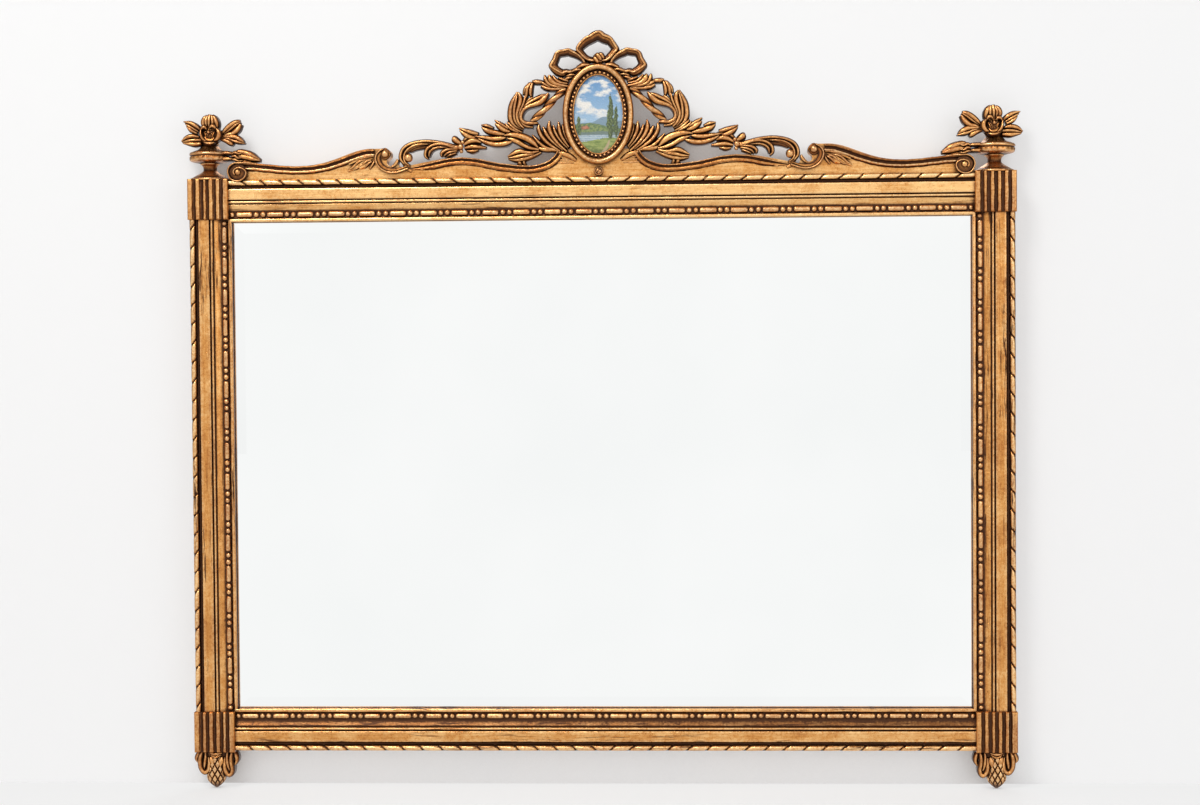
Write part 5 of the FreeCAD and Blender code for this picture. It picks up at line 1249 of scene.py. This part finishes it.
def ribbonShape(line, reach, tops, turn, seed):
    # a raised edge with a painted highlight, and the inside of the ribbon sloping to the opening, darker with
    # patina and painted shade
    wide = [(a, b) if turn > 0 else (b, a) for a, b in reach]
    inner = (0.75, 0.05) if turn > 0 else (0.05, 0.75)
    tops = np.array(tops, float)
    path = aboveRing(line)
    band = stroke(path, wide, tops - 3.4, back=12, crown=4.4, pitch=1.0, across=19, square=2.0, closed=True,
                  seed=seed, tone=0.30, shade=inner)
    ridge = stroke(path, [bow["ridgeHalf"]] * len(line), tops, back=22, crown=3.2, pitch=1.0, across=13,
                   square=2.0, closed=True, seed=seed + 1, wobble=0.3)
    return merged([band, ridge])


def topLoopShape():
    line, reach = bow["top"]
    tops = 33.2 + 1.3 * np.sin(np.linspace(0, math.pi, len(line)))
    return ribbonShape(line, reach, tops, 1, 150)


def sideLoopShape(seed):
    line, reach = bow["side"]
    tops = [31, 31.4, 32, 32.6, 33, 33, 33.4, 33.6, 33.2, 32.6, 32, 31.6, 31.4, 31.2, 30.6, 30.6]
    ends = [(line, half, top) for line, half, top in bow["twists"]]
    return merged([ribbonShape(line, reach, tops, -1, seed), carved(ends, 14, seed + 10, aboveRing, rim=1.6)])


def knotShape():
    coils = [([(-6.5, 8.8), (-3.6, 7.6), (-0.4, 3.2), (1.4, 0.6)], [1.5, 2.5, 2.5, 1.4], 37.2),
             ([(-3, 13.4), (0, 12), (3.6, 7.2), (5.6, 4.2)], [1.5, 2.6, 2.5, 1.3], 37.6),
             ([(2.2, 15.4), (5, 13.2), (7.6, 9.4), (9.2, 6.8)], [1.2, 2.2, 2.1, 1.0], 36.4)]
    ball = ballShape(0.6, 27, medallionZ + 72 + 7, 9.0, 0.85, 3, 12, 20, 1.0)
    return merged([ball, carved(coils, 18, 170, aboveRing, rim=1.0)])


bowPieces = {
    "bow_upper_ribbon": (topLoopShape(), "bow_top_loop"),
    "bow_left_ribbon": (sideLoopShape(155), "left_bow_loop"),
    "bow_right_ribbon": (mirroredShape(sideLoopShape(158)), "right_bow_loop"),
    "bow_tied_knot": (knotShape(), "bow_knot"),
}
for name, (shape, node) in bowPieces.items():
    addPiece(name, shape, gildedCarving, [node])
print("bow done")


finialUrn = {"axisY": 8.0, "around": 96, "gadroons": 22}
# radius, height above the block, how strongly the gadroons bite, darkness (patina and painted shade, a
# painted highlight below 0)
urnProfile = [
    (20.0, 0.0, 0, 0.9), (28.0, 0.0, 0, 0.6), (28.9, 0.8, 0, 0.1), (29.0, 2.4, 0, -0.5),
    (28.2, 3.4, 0, -0.1), (26.4, 4.2, 0, 0.8), (24.6, 4.9, 0, 0.9), (22.8, 6.2, 0, 0.1),
    (19.5, 8.2, 0, -0.3), (15.6, 10.2, 0, -0.3), (12.4, 12.4, 0, 0.0), (10.4, 14.2, 0, 0.4),
    (9.7, 16.0, 0, 0.7), (9.7, 18.4, 0, 0.4), (10.3, 20.8, 0, 0.2), (11.5, 22.5, 0, 0.3),
    (13.4, 23.6, 0, -0.3), (14.4, 24.6, 0, -0.5), (14.2, 25.3, 0, 0.9), (15.8, 25.7, 0.2, 0.9),
    (20.0, 26.5, 0.5, 0.4), (25.0, 27.5, 0.6, 0.1), (27.6, 28.4, 0.2, -0.2), (29.2, 29.7, 0, -0.5),
    (29.6, 31.2, 0.1, -0.4), (29.8, 32.6, 0.7, -0.1), (29.8, 34.2, 0.7, 0.1), (29.3, 35.0, 0, 0.4),
    (28.3, 35.6, 0, 1.2), (28.3, 36.5, 0, 1.2), (29.4, 37.1, 0, 0.2), (29.9, 38.4, 0, -0.5),
    (29.5, 40.0, 0, -0.5), (28.0, 41.3, 0, -0.1), (25.4, 42.2, 0.2, 0.6), (23.8, 42.9, 0.6, 0.2),
    (21.0, 43.8, 1, -0.2), (18.2, 44.9, 1, -0.2), (16.2, 46.2, 0.7, -0.2), (14.4, 48.2, 0.3, -0.1),
    (12.8, 50.2, 0, 0.0), (11.8, 51.2, 0, 1.1), (11.6, 52.0, 0, 0.9), (12.9, 52.8, 0, -0.4),
    (13.4, 53.8, 0, -0.6), (12.4, 54.8, 0, 0.2), (9.0, 56.0, 0, 1.0)]


def urnShape(seed):
    p = finialUrn
    rings, shadeAndPatina, grain = [], [], []
    for radius, rise, bite, dark in urnProfile:
        for j in range(p["around"]):
            a = 2 * math.pi * j / p["around"]
            beat = abs(math.sin(a * p["gadroons"] / 2 + seed))
            r = radius - 1.5 * bite * (1 - beat ** 0.6)
            r += 0.18 * math.sin(3 * a + seed + rise * 0.3)
            x, y = r * math.cos(a), p["axisY"] + r * math.sin(a)
            rings.append((-blockX + x, min(y, frameBack - 0.1), frameTop + rise))
            # gadroon grooves darken with patina and painted shade, their crowns get a painted highlight, and
            # the half towards the wall gets painted shade
            shadeAndPatina.append(dark + bite * (1.1 * (1 - beat) ** 1.5 - 0.35 * beat) + 0.3 * max(0, math.sin(a)))
            grain.append((a * 22, rise * 1.2 + seed * 20, r))
    rings = np.array(rings).reshape(len(urnProfile), p["around"], 3)
    return ringStack(rings, np.array(shadeAndPatina), np.array(grain))


# the last number of a ridge, where there is one, darkens it with painted shade
sprayRidges = [
    ([(-35.1, 85.8), (-25.1, 83.7), (-16.4, 78.9), (-10.6, 74)], (0.6, 1.9, 2.2, 1.3), 25.5),
    ([(-33.2, 83.1), (-25.2, 78.1), (-13.6, 71.1)], (0.6, 1.7, 1.3), 24.5),
    ([(-31.1, 79), (-24.5, 73.2), (-15.1, 68.1)], (0.6, 2, 1.4), 25),
    ([(-38.7, 57.4), (-31.3, 62.4), (-22.5, 64.7), (-12.2, 63.4)], (0.6, 2, 2.2, 1.3), 25.5),
    ([(-38, 56.2), (-29.9, 57.8), (-21.1, 58.9), (-9.3, 58.8)], (0.6, 1.6, 2, 2.3), 24.5),
    ([(-36.5, 54.7), (-28.5, 53.8), (-19.7, 52.8), (-9.4, 53.8)], (0.6, 1.7, 2.5, 2), 25.5),
    ([(20.2, 67.1), (26.1, 73.1), (33.5, 79.7), (40.9, 84), (47.2, 85.9)], (1.4, 2.2, 2.5, 2.3, 1.4), 26),
    ([(23.1, 67.1), (33.4, 73.9), (40.9, 80), (47.9, 84.5)], (1, 1.4, 1.6, 1), 24.5),
    ([(21.6, 63.5), (28.9, 66.1), (36.3, 67.6), (43.7, 73.2), (48.6, 81.5)], (1.3, 2, 2.6, 3, 1.9), 25.5),
    ([(21.6, 63.3), (31.8, 63.2), (40.6, 62.5), (47.9, 58.8), (53, 55.1)], (1.4, 1.9, 2.6, 2.3, 0.7), 25.5),
    ([(21.5, 61.3), (30.3, 60.3), (37.6, 57.3), (44.9, 55.2), (54.4, 53.1)], (1.2, 1.4, 1.7, 2, 0.6), 24.5),
    ([(18.6, 60.5), (27.4, 57.2), (34.1, 53.3), (37.2, 50.7)], (1.7, 2.2, 2.5, 1.2), 26),
    ([(12.8, 64.3), (20.1, 62), (27.4, 58.9)], (3.2, 2.9, 1.4), 23, 0.3),
    ([(-3.8, 76.1), (-5.8, 83.4), (-3.8, 89.7), (-0, 94)], (2, 2.5, 2.3, 1.2), 27.5),
    ([(13.6, 74.4), (13.9, 82.4), (11.1, 89.8), (7, 94.2)], (2, 2.6, 2.6, 1.4), 27.5),
    ([(-0.6, 77.5), (-1.2, 86.2), (1.4, 93.7)], (1.7, 2, 1.7), 29),
    ([(3.3, 77.5), (3.4, 86.2), (4.4, 95.4)], (1.7, 2, 2.3), 30),
    ([(8, 77.4), (8.2, 86.1), (7, 94.5)], (1.7, 2, 1.7), 29),
]
flowerLips = [
    ([(-8.7, 73.4), (-8.7, 66.8), (-6, 60.3), (-1.3, 56.2)], (0.9, 1.6, 1.7, 1), 31),
    ([(-8.3, 73.2), (-5.8, 76.4), (-1.8, 76.3), (0.1, 72.8)], (1, 2.3, 2, 0.7), 31.5),
    ([(4, 74.8), (7.5, 78.2), (11.4, 77.3), (13.4, 74.1)], (0.9, 2.3, 2.2, 0.9), 32),
    ([(14, 74.7), (17.6, 70.2), (18.1, 64.4), (15, 59.3), (10.3, 57.4)], (1.2, 2.6, 3.2, 2.5, 0.9), 32),
    ([(-4.4, 55.8), (0.1, 53.7), (6.7, 53.3), (11.5, 55)], (0.7, 1.7, 1.9, 0.7), 31.5),
    ([(-4.2, 63.9), (-0.1, 58.8), (6.7, 58), (10.6, 62.3)], (1.4, 2.6, 2.6, 1.4), 28.4, 0.25),
    ([(-4.8, 71.1), (-1.9, 66), (-1.3, 61)], (1.3, 1.6, 1), 28.4, 0.35),
    ([(11, 71), (9.1, 65.9), (7.7, 60.9)], (1.3, 1.7, 1), 28.4, 0.35),
    ([(0.4, 74.7), (3, 73.1), (5.5, 74.8)], (1, 1.3, 1), 28.6, 0.3),
]
budRidges = [
    ([(19.2, 39.8), (29.5, 39.4), (39.7, 38.1)], (2.3, 1.9, 1.7), 28),
    ([(19.1, 31.4), (29.4, 31), (39.6, 30.3)], (2.8, 2.3, 1.7), 27.5, 0.1),
    ([(40.5, 39.8), (45.6, 40.9), (52.9, 40), (64.6, 35.8), (76.5, 29)], (1.2, 2.5, 3.2, 3.6, 1), 28.5),
    ([(42.6, 33.7), (49.9, 33.6), (58.7, 32.1), (67.5, 30), (76.9, 27.7)],
     (2, 3.5, 3.8, 3.2, 0.9), 29.5, 0.05),
    ([(41.1, 27.9), (48.4, 26.7), (57.2, 26), (67.4, 26.5)], (1.9, 2.8, 2.8, 1), 27, 0.3),
    ([(36.2, 37.3), (40.3, 39.8), (46.5, 37.7), (52.2, 39.4)], (1, 1.7, 1.3, 0.4), 31),
    ([(36.2, 33.8), (41.2, 34.6), (46.1, 31.4), (52.1, 32.2)], (1, 1.7, 1.3, 0.4), 32),
    ([(36.4, 30.3), (41.1, 29.4), (46.9, 27), (52.8, 28.1)], (1, 1.7, 1.3, 0.4), 31),
]


def sprayShape(seed):
    # leaves at both sides, and behind the flower a rounded bud with three upright marks
    shapes = [carved(sprayRidges, 10, seed, aboutBlock, rim=0.9, drop=2.2, crown=3.0, sunkShadePatina=0.45)]
    core = ballShape(-blockX + 4.5, 18.5, frameTop + 80, 12.0, 0.62, seed, 14, 26, 0.9)
    points = core[0].copy()
    points[:, 2] = frameTop + 80 + (points[:, 2] - frameTop - 80) * 1.25
    # the bud and the flat ball behind the flower get extra painted shade
    shapes.append((points, core[1], core[2] + 0.25, core[3]))
    shapes.append(ballShape(-blockX + 3, 17, frameTop + 64, 15.5, 0.5, seed, 12, 26, 1.2))
    return merged(shapes)


def flowerShape(seed, turn):
    # a deep cup: its floor darkened with patina and painted shade, petals with curled lips given a painted
    # highlight, a ball in the middle
    cx, cz = -blockX + 3.6, frameTop + 66.5
    points, faces, shadeAndPatina, grain = ballShape(cx, 20.0, cz, 13.6, 0.5, seed, 14, 30, 0.6)
    around = np.arctan2(points[:, 2] - cz, points[:, 0] - cx)
    outward = np.hypot(points[:, 0] - cx, points[:, 2] - cz) / 13.6
    fan = np.abs(np.sin(around * 11 + turn * 6))
    points = points + np.stack([0 * fan, 1.1 * (1 - fan) * outward * (shadeAndPatina < 0.6), 0 * fan], 1)
    shapes = [(points, faces, np.clip(shadeAndPatina + 0.75 + 0.5 * (1 - fan), 0, 1.6), grain)]
    shapes.append(carved(flowerLips, 14, seed, aboutBlock, rim=0.9, drop=2.8, crown=2.8, sunkShadePatina=0.6, full=1.08))
    x, z = -blockX + 2.9, frameTop + 69.6
    shapes.append(ballShape(x, 29.2, z, 2.6, 1.0, seed, 10, 16, 0.5))
    for k in range(9):
        a = 2 * math.pi * k / 9 + turn
        dx, dz = 4.6 * math.cos(a), 4.6 * math.sin(a)
        shapes.append(ballShape(x + dx, 26.6, z + dz, 1.2, 1.0, seed + k, 6, 9, 1.6))
    return merged(shapes)


def sideBudShape(seed):
    return carved(budRidges, 10, seed, aboutBlock, rim=1.0, drop=3.0, crown=3.6, sunkShadePatina=0.4, full=1.12)


# the two finials differ a little in their unevenness and in the turn of the flower
for hand, seed, turn in (("left", 3, 0.2), ("right", 11, 0.55)):
    turnOver = mirroredShape if hand == "right" else (lambda s: s)
    forms = {"urn_turned": ("finial_urn", urnShape(seed)), "spray": ("finial_spray", sprayShape(seed * 30)),
             "flower_open": ("finial_flower", flowerShape(seed, turn)),
             "bud_to_crest": ("side_bud", sideBudShape(seed * 30 + 12))}
    for name, (node, form) in forms.items():
        addPiece(hand + "_" + name, turnOver(form), gildedCarving, [hand + "_" + node])
print("finials done")


footCone = {"axisY": 0.0, "around": 200, "levels": 90, "radius": 14.2, "rows": 3.9, "turns": 10, "cut": 2.1}


def coneShape(seed):
    p = footCone
    rings, shadeAndPatina, grain = [], [], []
    for i in range(p["levels"] + 1):
        t = i / p["levels"]
        z = 0.05 + 55.8 * t
        swell = min(1, math.sin(math.pi / 2 * min(1, (t + 0.005) / 0.30)) ** 0.78)
        body = p["radius"] * swell * (1 - 0.22 * max(0, t - 0.45))
        for j in range(p["around"]):
            a = 2 * math.pi * j / p["around"]
            u = (a / (2 * math.pi) * p["turns"] + t * p["rows"]) % 1.0
            v = (a / (2 * math.pi) * p["turns"] - t * p["rows"]) % 1.0
            scale = min(1, min(u, 1 - u) / 0.17) ** 1.3 * min(1, min(v, 1 - v) / 0.17) ** 1.3
            r = max(0.5, body - p["cut"] * (1 - scale) * min(1, t * 6))
            rings.append((-blockX + r * math.cos(a), p["axisY"] + r * math.sin(a), z))
            # grooves between the scales darken with patina and painted shade, the scale tops get a painted
            # highlight
            shadeAndPatina.append(1.5 * (1 - scale) ** 0.9 - 0.62 * scale ** 3)
            grain.append((z + seed * 31, a * 12, r))
    rings = np.array(rings).reshape(p["levels"] + 1, p["around"], 3)
    return ringStack(rings, np.array(shadeAndPatina), np.array(grain))


def belowBlock(points):
    return [(-blockX + x, 56.0 - drop) for x, drop in points]


footRidges = [
    ([(-19.1, 1), (-21.8, 9.1), (-22.5, 17.9), (-20.9, 26.8), (-15.8, 32.1), (-10.3, 28.2), (-8.7, 19.4),
      (-10, 9.1)], (1.7, 2.2, 2.3, 2.3, 2.5, 2.3, 2.2, 1), 28.5),
    ([(-14.3, 1), (-14.2, 10.6), (-15.5, 19.4), (-16.4, 26.8)], (1.4, 1.7, 1.9, 1.2), 28),
    ([(25, 0.9), (23.4, 9), (23.3, 17.9), (25, 26.7), (23.7, 33.5), (19.8, 35.9), (15.4, 30.4), (13.9, 22.3),
      (13.9, 10.5)], (1.2, 1.9, 2, 2, 2.2, 2.3, 2.5, 2.2, 1.2), 28.5),
    ([(18.2, 1), (17.5, 10.5), (18.5, 20.8), (21.1, 29.7)], (1.4, 1.9, 2, 1.2), 28),
    ([(-23.2, 1), (-25.5, 6.1), (-28.1, 12.8), (-24.9, 19.4)], (1.4, 2.2, 1.9, 0.9), 25.5),
    ([(27.9, 1.7), (30.2, 8.3), (31, 14.9), (28, 22.3)], (1.4, 2.3, 2, 0.9), 25.5),
    ([(-7.8, 2.9), (1.2, 4.4), (10.8, 2.9)], (1, 2.2, 1), 31.5),
    ([(-6.6, 5.5), (1.4, 9.4), (9.6, 5.5)], (0.7, 1.4, 0.7), 30.5, 0.1),
    ([(-7, 8.8), (-4.5, 15), (-2.2, 23.8)], (1.9, 3.5, 1), 29.5),
    ([(10.1, 8.8), (8.8, 15.7), (7.2, 24.7)], (1.9, 3.6, 1), 29.5),
]


def footLeavesShape(seed):
    # curled leaves with a raised vein, and a body under them all round the cone, darkened with painted shade
    around, levels = 60, 10
    rings = np.zeros((levels + 1, around, 3))
    for i in range(levels + 1):
        t = i / levels
        a = np.linspace(0, 2 * math.pi, around, endpoint=False)
        side = 26.5 * (1 - 0.42 * t ** 1.6) * (1 + 0.05 * np.cos(6 * a))
        rings[i, :, 0] = -blockX + 1.0 + side * np.cos(a)
        rings[i, :, 1] = heightToY(14.5 + (11.0 - 2.5 * t) * -np.sin(a))
        rings[i, :, 2] = 55.6 - 28.0 * t
    lobes = np.abs(np.cos(3 * np.linspace(0, 2 * math.pi, around)))
    shadeAndPatina = 0.45 + 0.4 * lobes[None] * np.ones((levels + 1, 1))
    grain = np.stack([rings[:, :, 2], rings[:, :, 0], rings[:, :, 1]], 2)
    leaves = carved(footRidges, 9, seed, belowBlock, rim=1.0, drop=2.6, crown=3.4, sunkShadePatina=0.45, full=1.3)
    return merged([ringStack(rings[:, ::-1], shadeAndPatina, grain), leaves])


for seed, hand in ((4, "left"), (9, "right")):
    turnOver = mirroredShape if hand == "right" else (lambda s: s)
    cone, leaves = turnOver(coneShape(seed)), turnOver(footLeavesShape(seed * 20))
    addPiece(hand + "_cone_scaled", cone, gildedCarving, [hand + "_foot_cone"])
    addPiece(hand + "_cone_leaves", leaves, gildedCarving, [hand + "_foot_leaves"])
print("feet done")


mirrorPlate = {"halfWidth": 542.0, "halfHeight": 362.0, "back": 12.0, "front": 17.0,
               "bevel": 23.0, "bevelDrop": 1.5}


def plateShape():
    p = mirrorPlate
    edge = p["front"] - p["bevelDrop"]
    # inset from the outside, height: upright edge, bevel, face
    profile = ((0.0, p["back"]), (0.0, edge - 0.25), (0.3, edge), (p["bevel"] - 0.5, p["front"] - 0.03),
               (p["bevel"] + 0.5, p["front"]))
    rings = []
    for inset, height in profile:
        a, b = p["halfWidth"] - inset, p["halfHeight"] - inset
        corners = ((-a, -b), (a, -b), (a, b), (-a, b))
        rings.append([(x, heightToY(height), middleZ + z) for x, z in corners])
    rings = np.array(rings)
    return ringStack(rings, np.zeros(rings.shape[:2]), np.zeros(rings.shape))


addPiece("bevelled_mirror", plateShape(), silvered, ["mirror_glass"], smooth=False)
print("mirror plate done")


keptParts = {
    "crest_board": gildedBoard, "backing_board": hardboard, "packing_strips": bareWood,
    "mitre_keys": bareWood, "ornament_dowels": bareWood, "crest_battens": bareWood,
    "batten_screws": zincSteel,
    "backing_screws": zincSteel, "hanger_screws": zincSteel, "left_hanger_strap": platedBrass,
    "right_hanger_strap": platedBrass, "left_hanger_ring": platedBrass, "right_hanger_ring": platedBrass,
    "wall_bumpers": felt,
}
for name, material in keptParts.items():
    piece = bpy.data.objects[name]
    if not piece.material_slots:
        piece.data.materials.append(material)
    for held in piece.material_slots:
        held.material = material
print("kept parts dressed")


studio = {
    "floorColour": (0.80, 0.80, 0.80), "wallColour": (0.93, 0.93, 0.935), "wallY": 0.030,
    "floorGlow": 0.62, "wallGlow": 0.50, "floorLevel": 0.95, "wallLevel": 0.98, "shadeReach": 0.10,
    "ambient": 0.62, "seen": 0.92, "mirrored": 0.99,
    # how the soft daylight rises, and what the metal sees to the front and by height
    "sky": [(0.0, 0.42), (0.45, 0.60), (0.58, 0.86), (1.0, 0.80)],
    "ahead": [(0.0, 0.30), (0.50, 0.34), (0.68, 0.55), (0.86, 0.95), (1.0, 0.97)],
    "byHeight": [(0.0, 0.35), (0.32, 0.50), (0.46, 0.85), (0.53, 0.95), (0.62, 1.40), (0.75, 1.40),
                 (1.0, 1.2)],
    "key": {"place": (-1.1, -2.3, 3.3), "power": 62.0, "size": 1.1, "colour": (1.0, 0.98, 0.95)},
    "fill": {"place": (2.4, -2.6, 1.4), "power": 14.0, "size": 2.0, "colour": (0.96, 0.98, 1.0)},
    "rim": {"place": (0.4, 2.2, 2.4), "power": 20.0, "size": 1.6, "colour": (1.0, 1.0, 1.0)},
}


def shadedGlow(n, level):
    # the bright backdrop, with a painted shadow where the mirror stands close to it
    near = n.add("AmbientOcclusion", {"Distance": studio["shadeReach"]}, samples=8).outputs["AO"]
    shades = [(0.02, (0.05, 0.035, 0.03)), (0.11, (0.25, 0.22, 0.20)), (0.26, (0.68, 0.66, 0.65)),
              (0.50, (level, level, level))]
    glow = n.add("Emission", {"Strength": 1.0})
    n.put(n.ramp(near, shades), glow.inputs["Color"])
    return glow.outputs[0]


def mixedShader(n, share, first, second):
    mix = n.add("MixShader")
    n.put(share, mix.inputs[0])
    n.put(first, mix.inputs[1])
    n.put(second, mix.inputs[2])
    return mix.outputs[0]


def floorMaterial():
    # plain pale floor; in the mirror plate it shows as bright as the backdrop
    n = newMaterial("pale_floor")
    n.put((*studio["floorColour"], 1), n.shader.inputs["Base Color"])
    n.shader.inputs["Roughness"].default_value = 0.9
    # painted shadow: in the metal, the strip of floor close to the wall shows darker
    out = n.add("SeparateXYZ")
    n.put(n.add("TexCoord").outputs["Object"], out.inputs[0])
    glow = n.add("Emission", {"Strength": 1.0})
    strip = n.ramp(n.math("MULTIPLY", out.outputs["Y"], -1.0), [(0.30, 0.94), (0.50, studio["mirrored"])])
    n.put(strip, glow.inputs["Color"])
    rays = n.add("LightPath")
    seen = n.math("MULTIPLY", rays.outputs["Is Camera Ray"], studio["floorGlow"])
    lit = mixedShader(n, seen, n.shader.outputs[0], shadedGlow(n, studio["floorLevel"]))
    chosen = mixedShader(n, rays.outputs["Is Glossy Ray"], lit, glow.outputs[0])
    n.put(chosen, n.tree.nodes["Material Output"].inputs["Surface"])
    return n.owner


def wallMaterial():
    # seen from the front only; from behind it lets the eye through
    n = newMaterial("pale_wall")
    n.put((*studio["wallColour"], 1), n.shader.inputs["Base Color"])
    n.shader.inputs["Roughness"].default_value = 1.0
    n.shader.inputs["Specular IOR Level"].default_value = 0.0
    seen = n.math("MULTIPLY", n.add("LightPath").outputs["Is Camera Ray"], studio["wallGlow"])
    lit = mixedShader(n, seen, n.shader.outputs[0], shadedGlow(n, studio["wallLevel"]))
    behind = n.add("NewGeometry").outputs["Backfacing"]
    chosen = mixedShader(n, behind, lit, n.add("BsdfTransparent").outputs[0])
    n.put(chosen, n.tree.nodes["Material Output"].inputs["Surface"])
    return n.owner


def stagePlane(name, corners, material):
    mesh = bpy.data.meshes.new(name)
    mesh.from_pydata(corners, [], [(0, 1, 2, 3)])
    mesh.update()
    plane = bpy.data.objects.new(name, mesh)
    bpy.context.scene.collection.objects.link(plane)
    mesh.materials.append(material)
    return plane


stagePlane("floor", [(-9, -9, 0), (9, -9, 0), (9, 9, 0), (-9, 9, 0)], floorMaterial())
wallY = studio["wallY"]
wall = stagePlane("wall", [(-9, wallY, -1), (9, wallY, -1), (9, wallY, 6), (-9, wallY, 6)], wallMaterial())
wall.visible_diffuse = wall.visible_glossy = wall.visible_transmission = wall.visible_shadow = False

def studioWorld():
    world = bpy.data.worlds.new("studio")
    n = Nodes(world)
    n.tree.nodes.clear()
    toward = n.add("SeparateXYZ")
    n.put(n.add("TexCoord").outputs["Generated"], toward.inputs[0])
    level = n.math("ADD", n.math("MULTIPLY", toward.outputs["Z"], 0.5), 0.5)
    ambient = n.add("Background", {"Strength": studio["ambient"]})
    n.put(n.ramp(level, studio["sky"]), ambient.inputs["Color"])
    # what metal sees: a bright front, a bright ceiling, darker sides and ground
    front = n.math("ADD", n.math("MULTIPLY", toward.outputs["Y"], -0.5), 0.5)
    reflected = n.math("MULTIPLY", n.ramp(front, studio["ahead"]), n.ramp(level, studio["byHeight"]))
    leftward = n.math("ADD", n.math("MULTIPLY", toward.outputs["X"], -0.22), 1.0)
    reflected = n.math("MULTIPLY", reflected, leftward)
    # straight ahead and low, the mirror plate sees an even brightness
    ahead, low = n.ramp(front, [(0.95, 0.0), (0.985, 1.0)]), n.ramp(level, [(0.598, 1.0), (0.612, 0.0)])
    cone = n.math("MULTIPLY", ahead, low)
    plain = n.add("Mix", data_type="FLOAT", inputs={0: cone, 2: reflected, 3: studio["mirrored"]}).outputs[0]
    metalSees = n.add("Background", {"Strength": 1.0})
    n.put(plain, metalSees.inputs["Color"])
    seen = studio["seen"]
    backdrop = n.add("Background", {"Color": (seen, seen, seen, 1), "Strength": 1.0})
    rays = n.add("LightPath")
    lit = mixedShader(n, rays.outputs["Is Glossy Ray"], ambient.outputs[0], metalSees.outputs[0])
    direct = n.math("MAXIMUM", rays.outputs["Is Camera Ray"], rays.outputs["Is Transmission Ray"])
    n.put(mixedShader(n, direct, lit, backdrop.outputs[0]), n.add("OutputWorld").inputs["Surface"])
    return world


bpy.context.scene.world = studioWorld()


def areaLamp(name, place, power, size, colour):
    data = bpy.data.lights.new(name, "AREA")
    data.energy, data.size, data.color = power, size, colour
    lamp = bpy.data.objects.new(name, data)
    lamp.location = place
    aim = Vector((0, 0, 0.55)) - Vector(place)
    lamp.rotation_euler = aim.to_track_quat("-Z", "Y").to_euler()
    lamp.visible_camera = False
    bpy.context.scene.collection.objects.link(lamp)


for name in ("key", "fill", "rim"):
    areaLamp(name + "_lamp", *(studio[name][k] for k in ("place", "power", "size", "colour")))

shot = {"place": (0.126, -2.998, 0.648), "yaw": 2.426, "pitch": -1.63, "roll": 0.44, "lens": 62.0}
cameraData = bpy.data.cameras.new("camera")
cameraData.lens = shot["lens"]
cameraData.sensor_width = 36.0
camera = bpy.data.objects.new("camera", cameraData)
bpy.context.scene.collection.objects.link(camera)
turn = Matrix.Identity(4)
for angle, axis in (("yaw", "Z"), ("pitch", "X"), ("roll", "Y")):
    turn = turn @ Matrix.Rotation(math.radians(shot[angle]), 4, axis)
camera.matrix_world = Matrix.Translation(shot["place"]) @ turn @ Matrix.Rotation(math.radians(90), 4, "X")
bpy.context.scene.camera = camera
bpy.context.scene.view_settings.view_transform = "Standard"

print("scene ready")
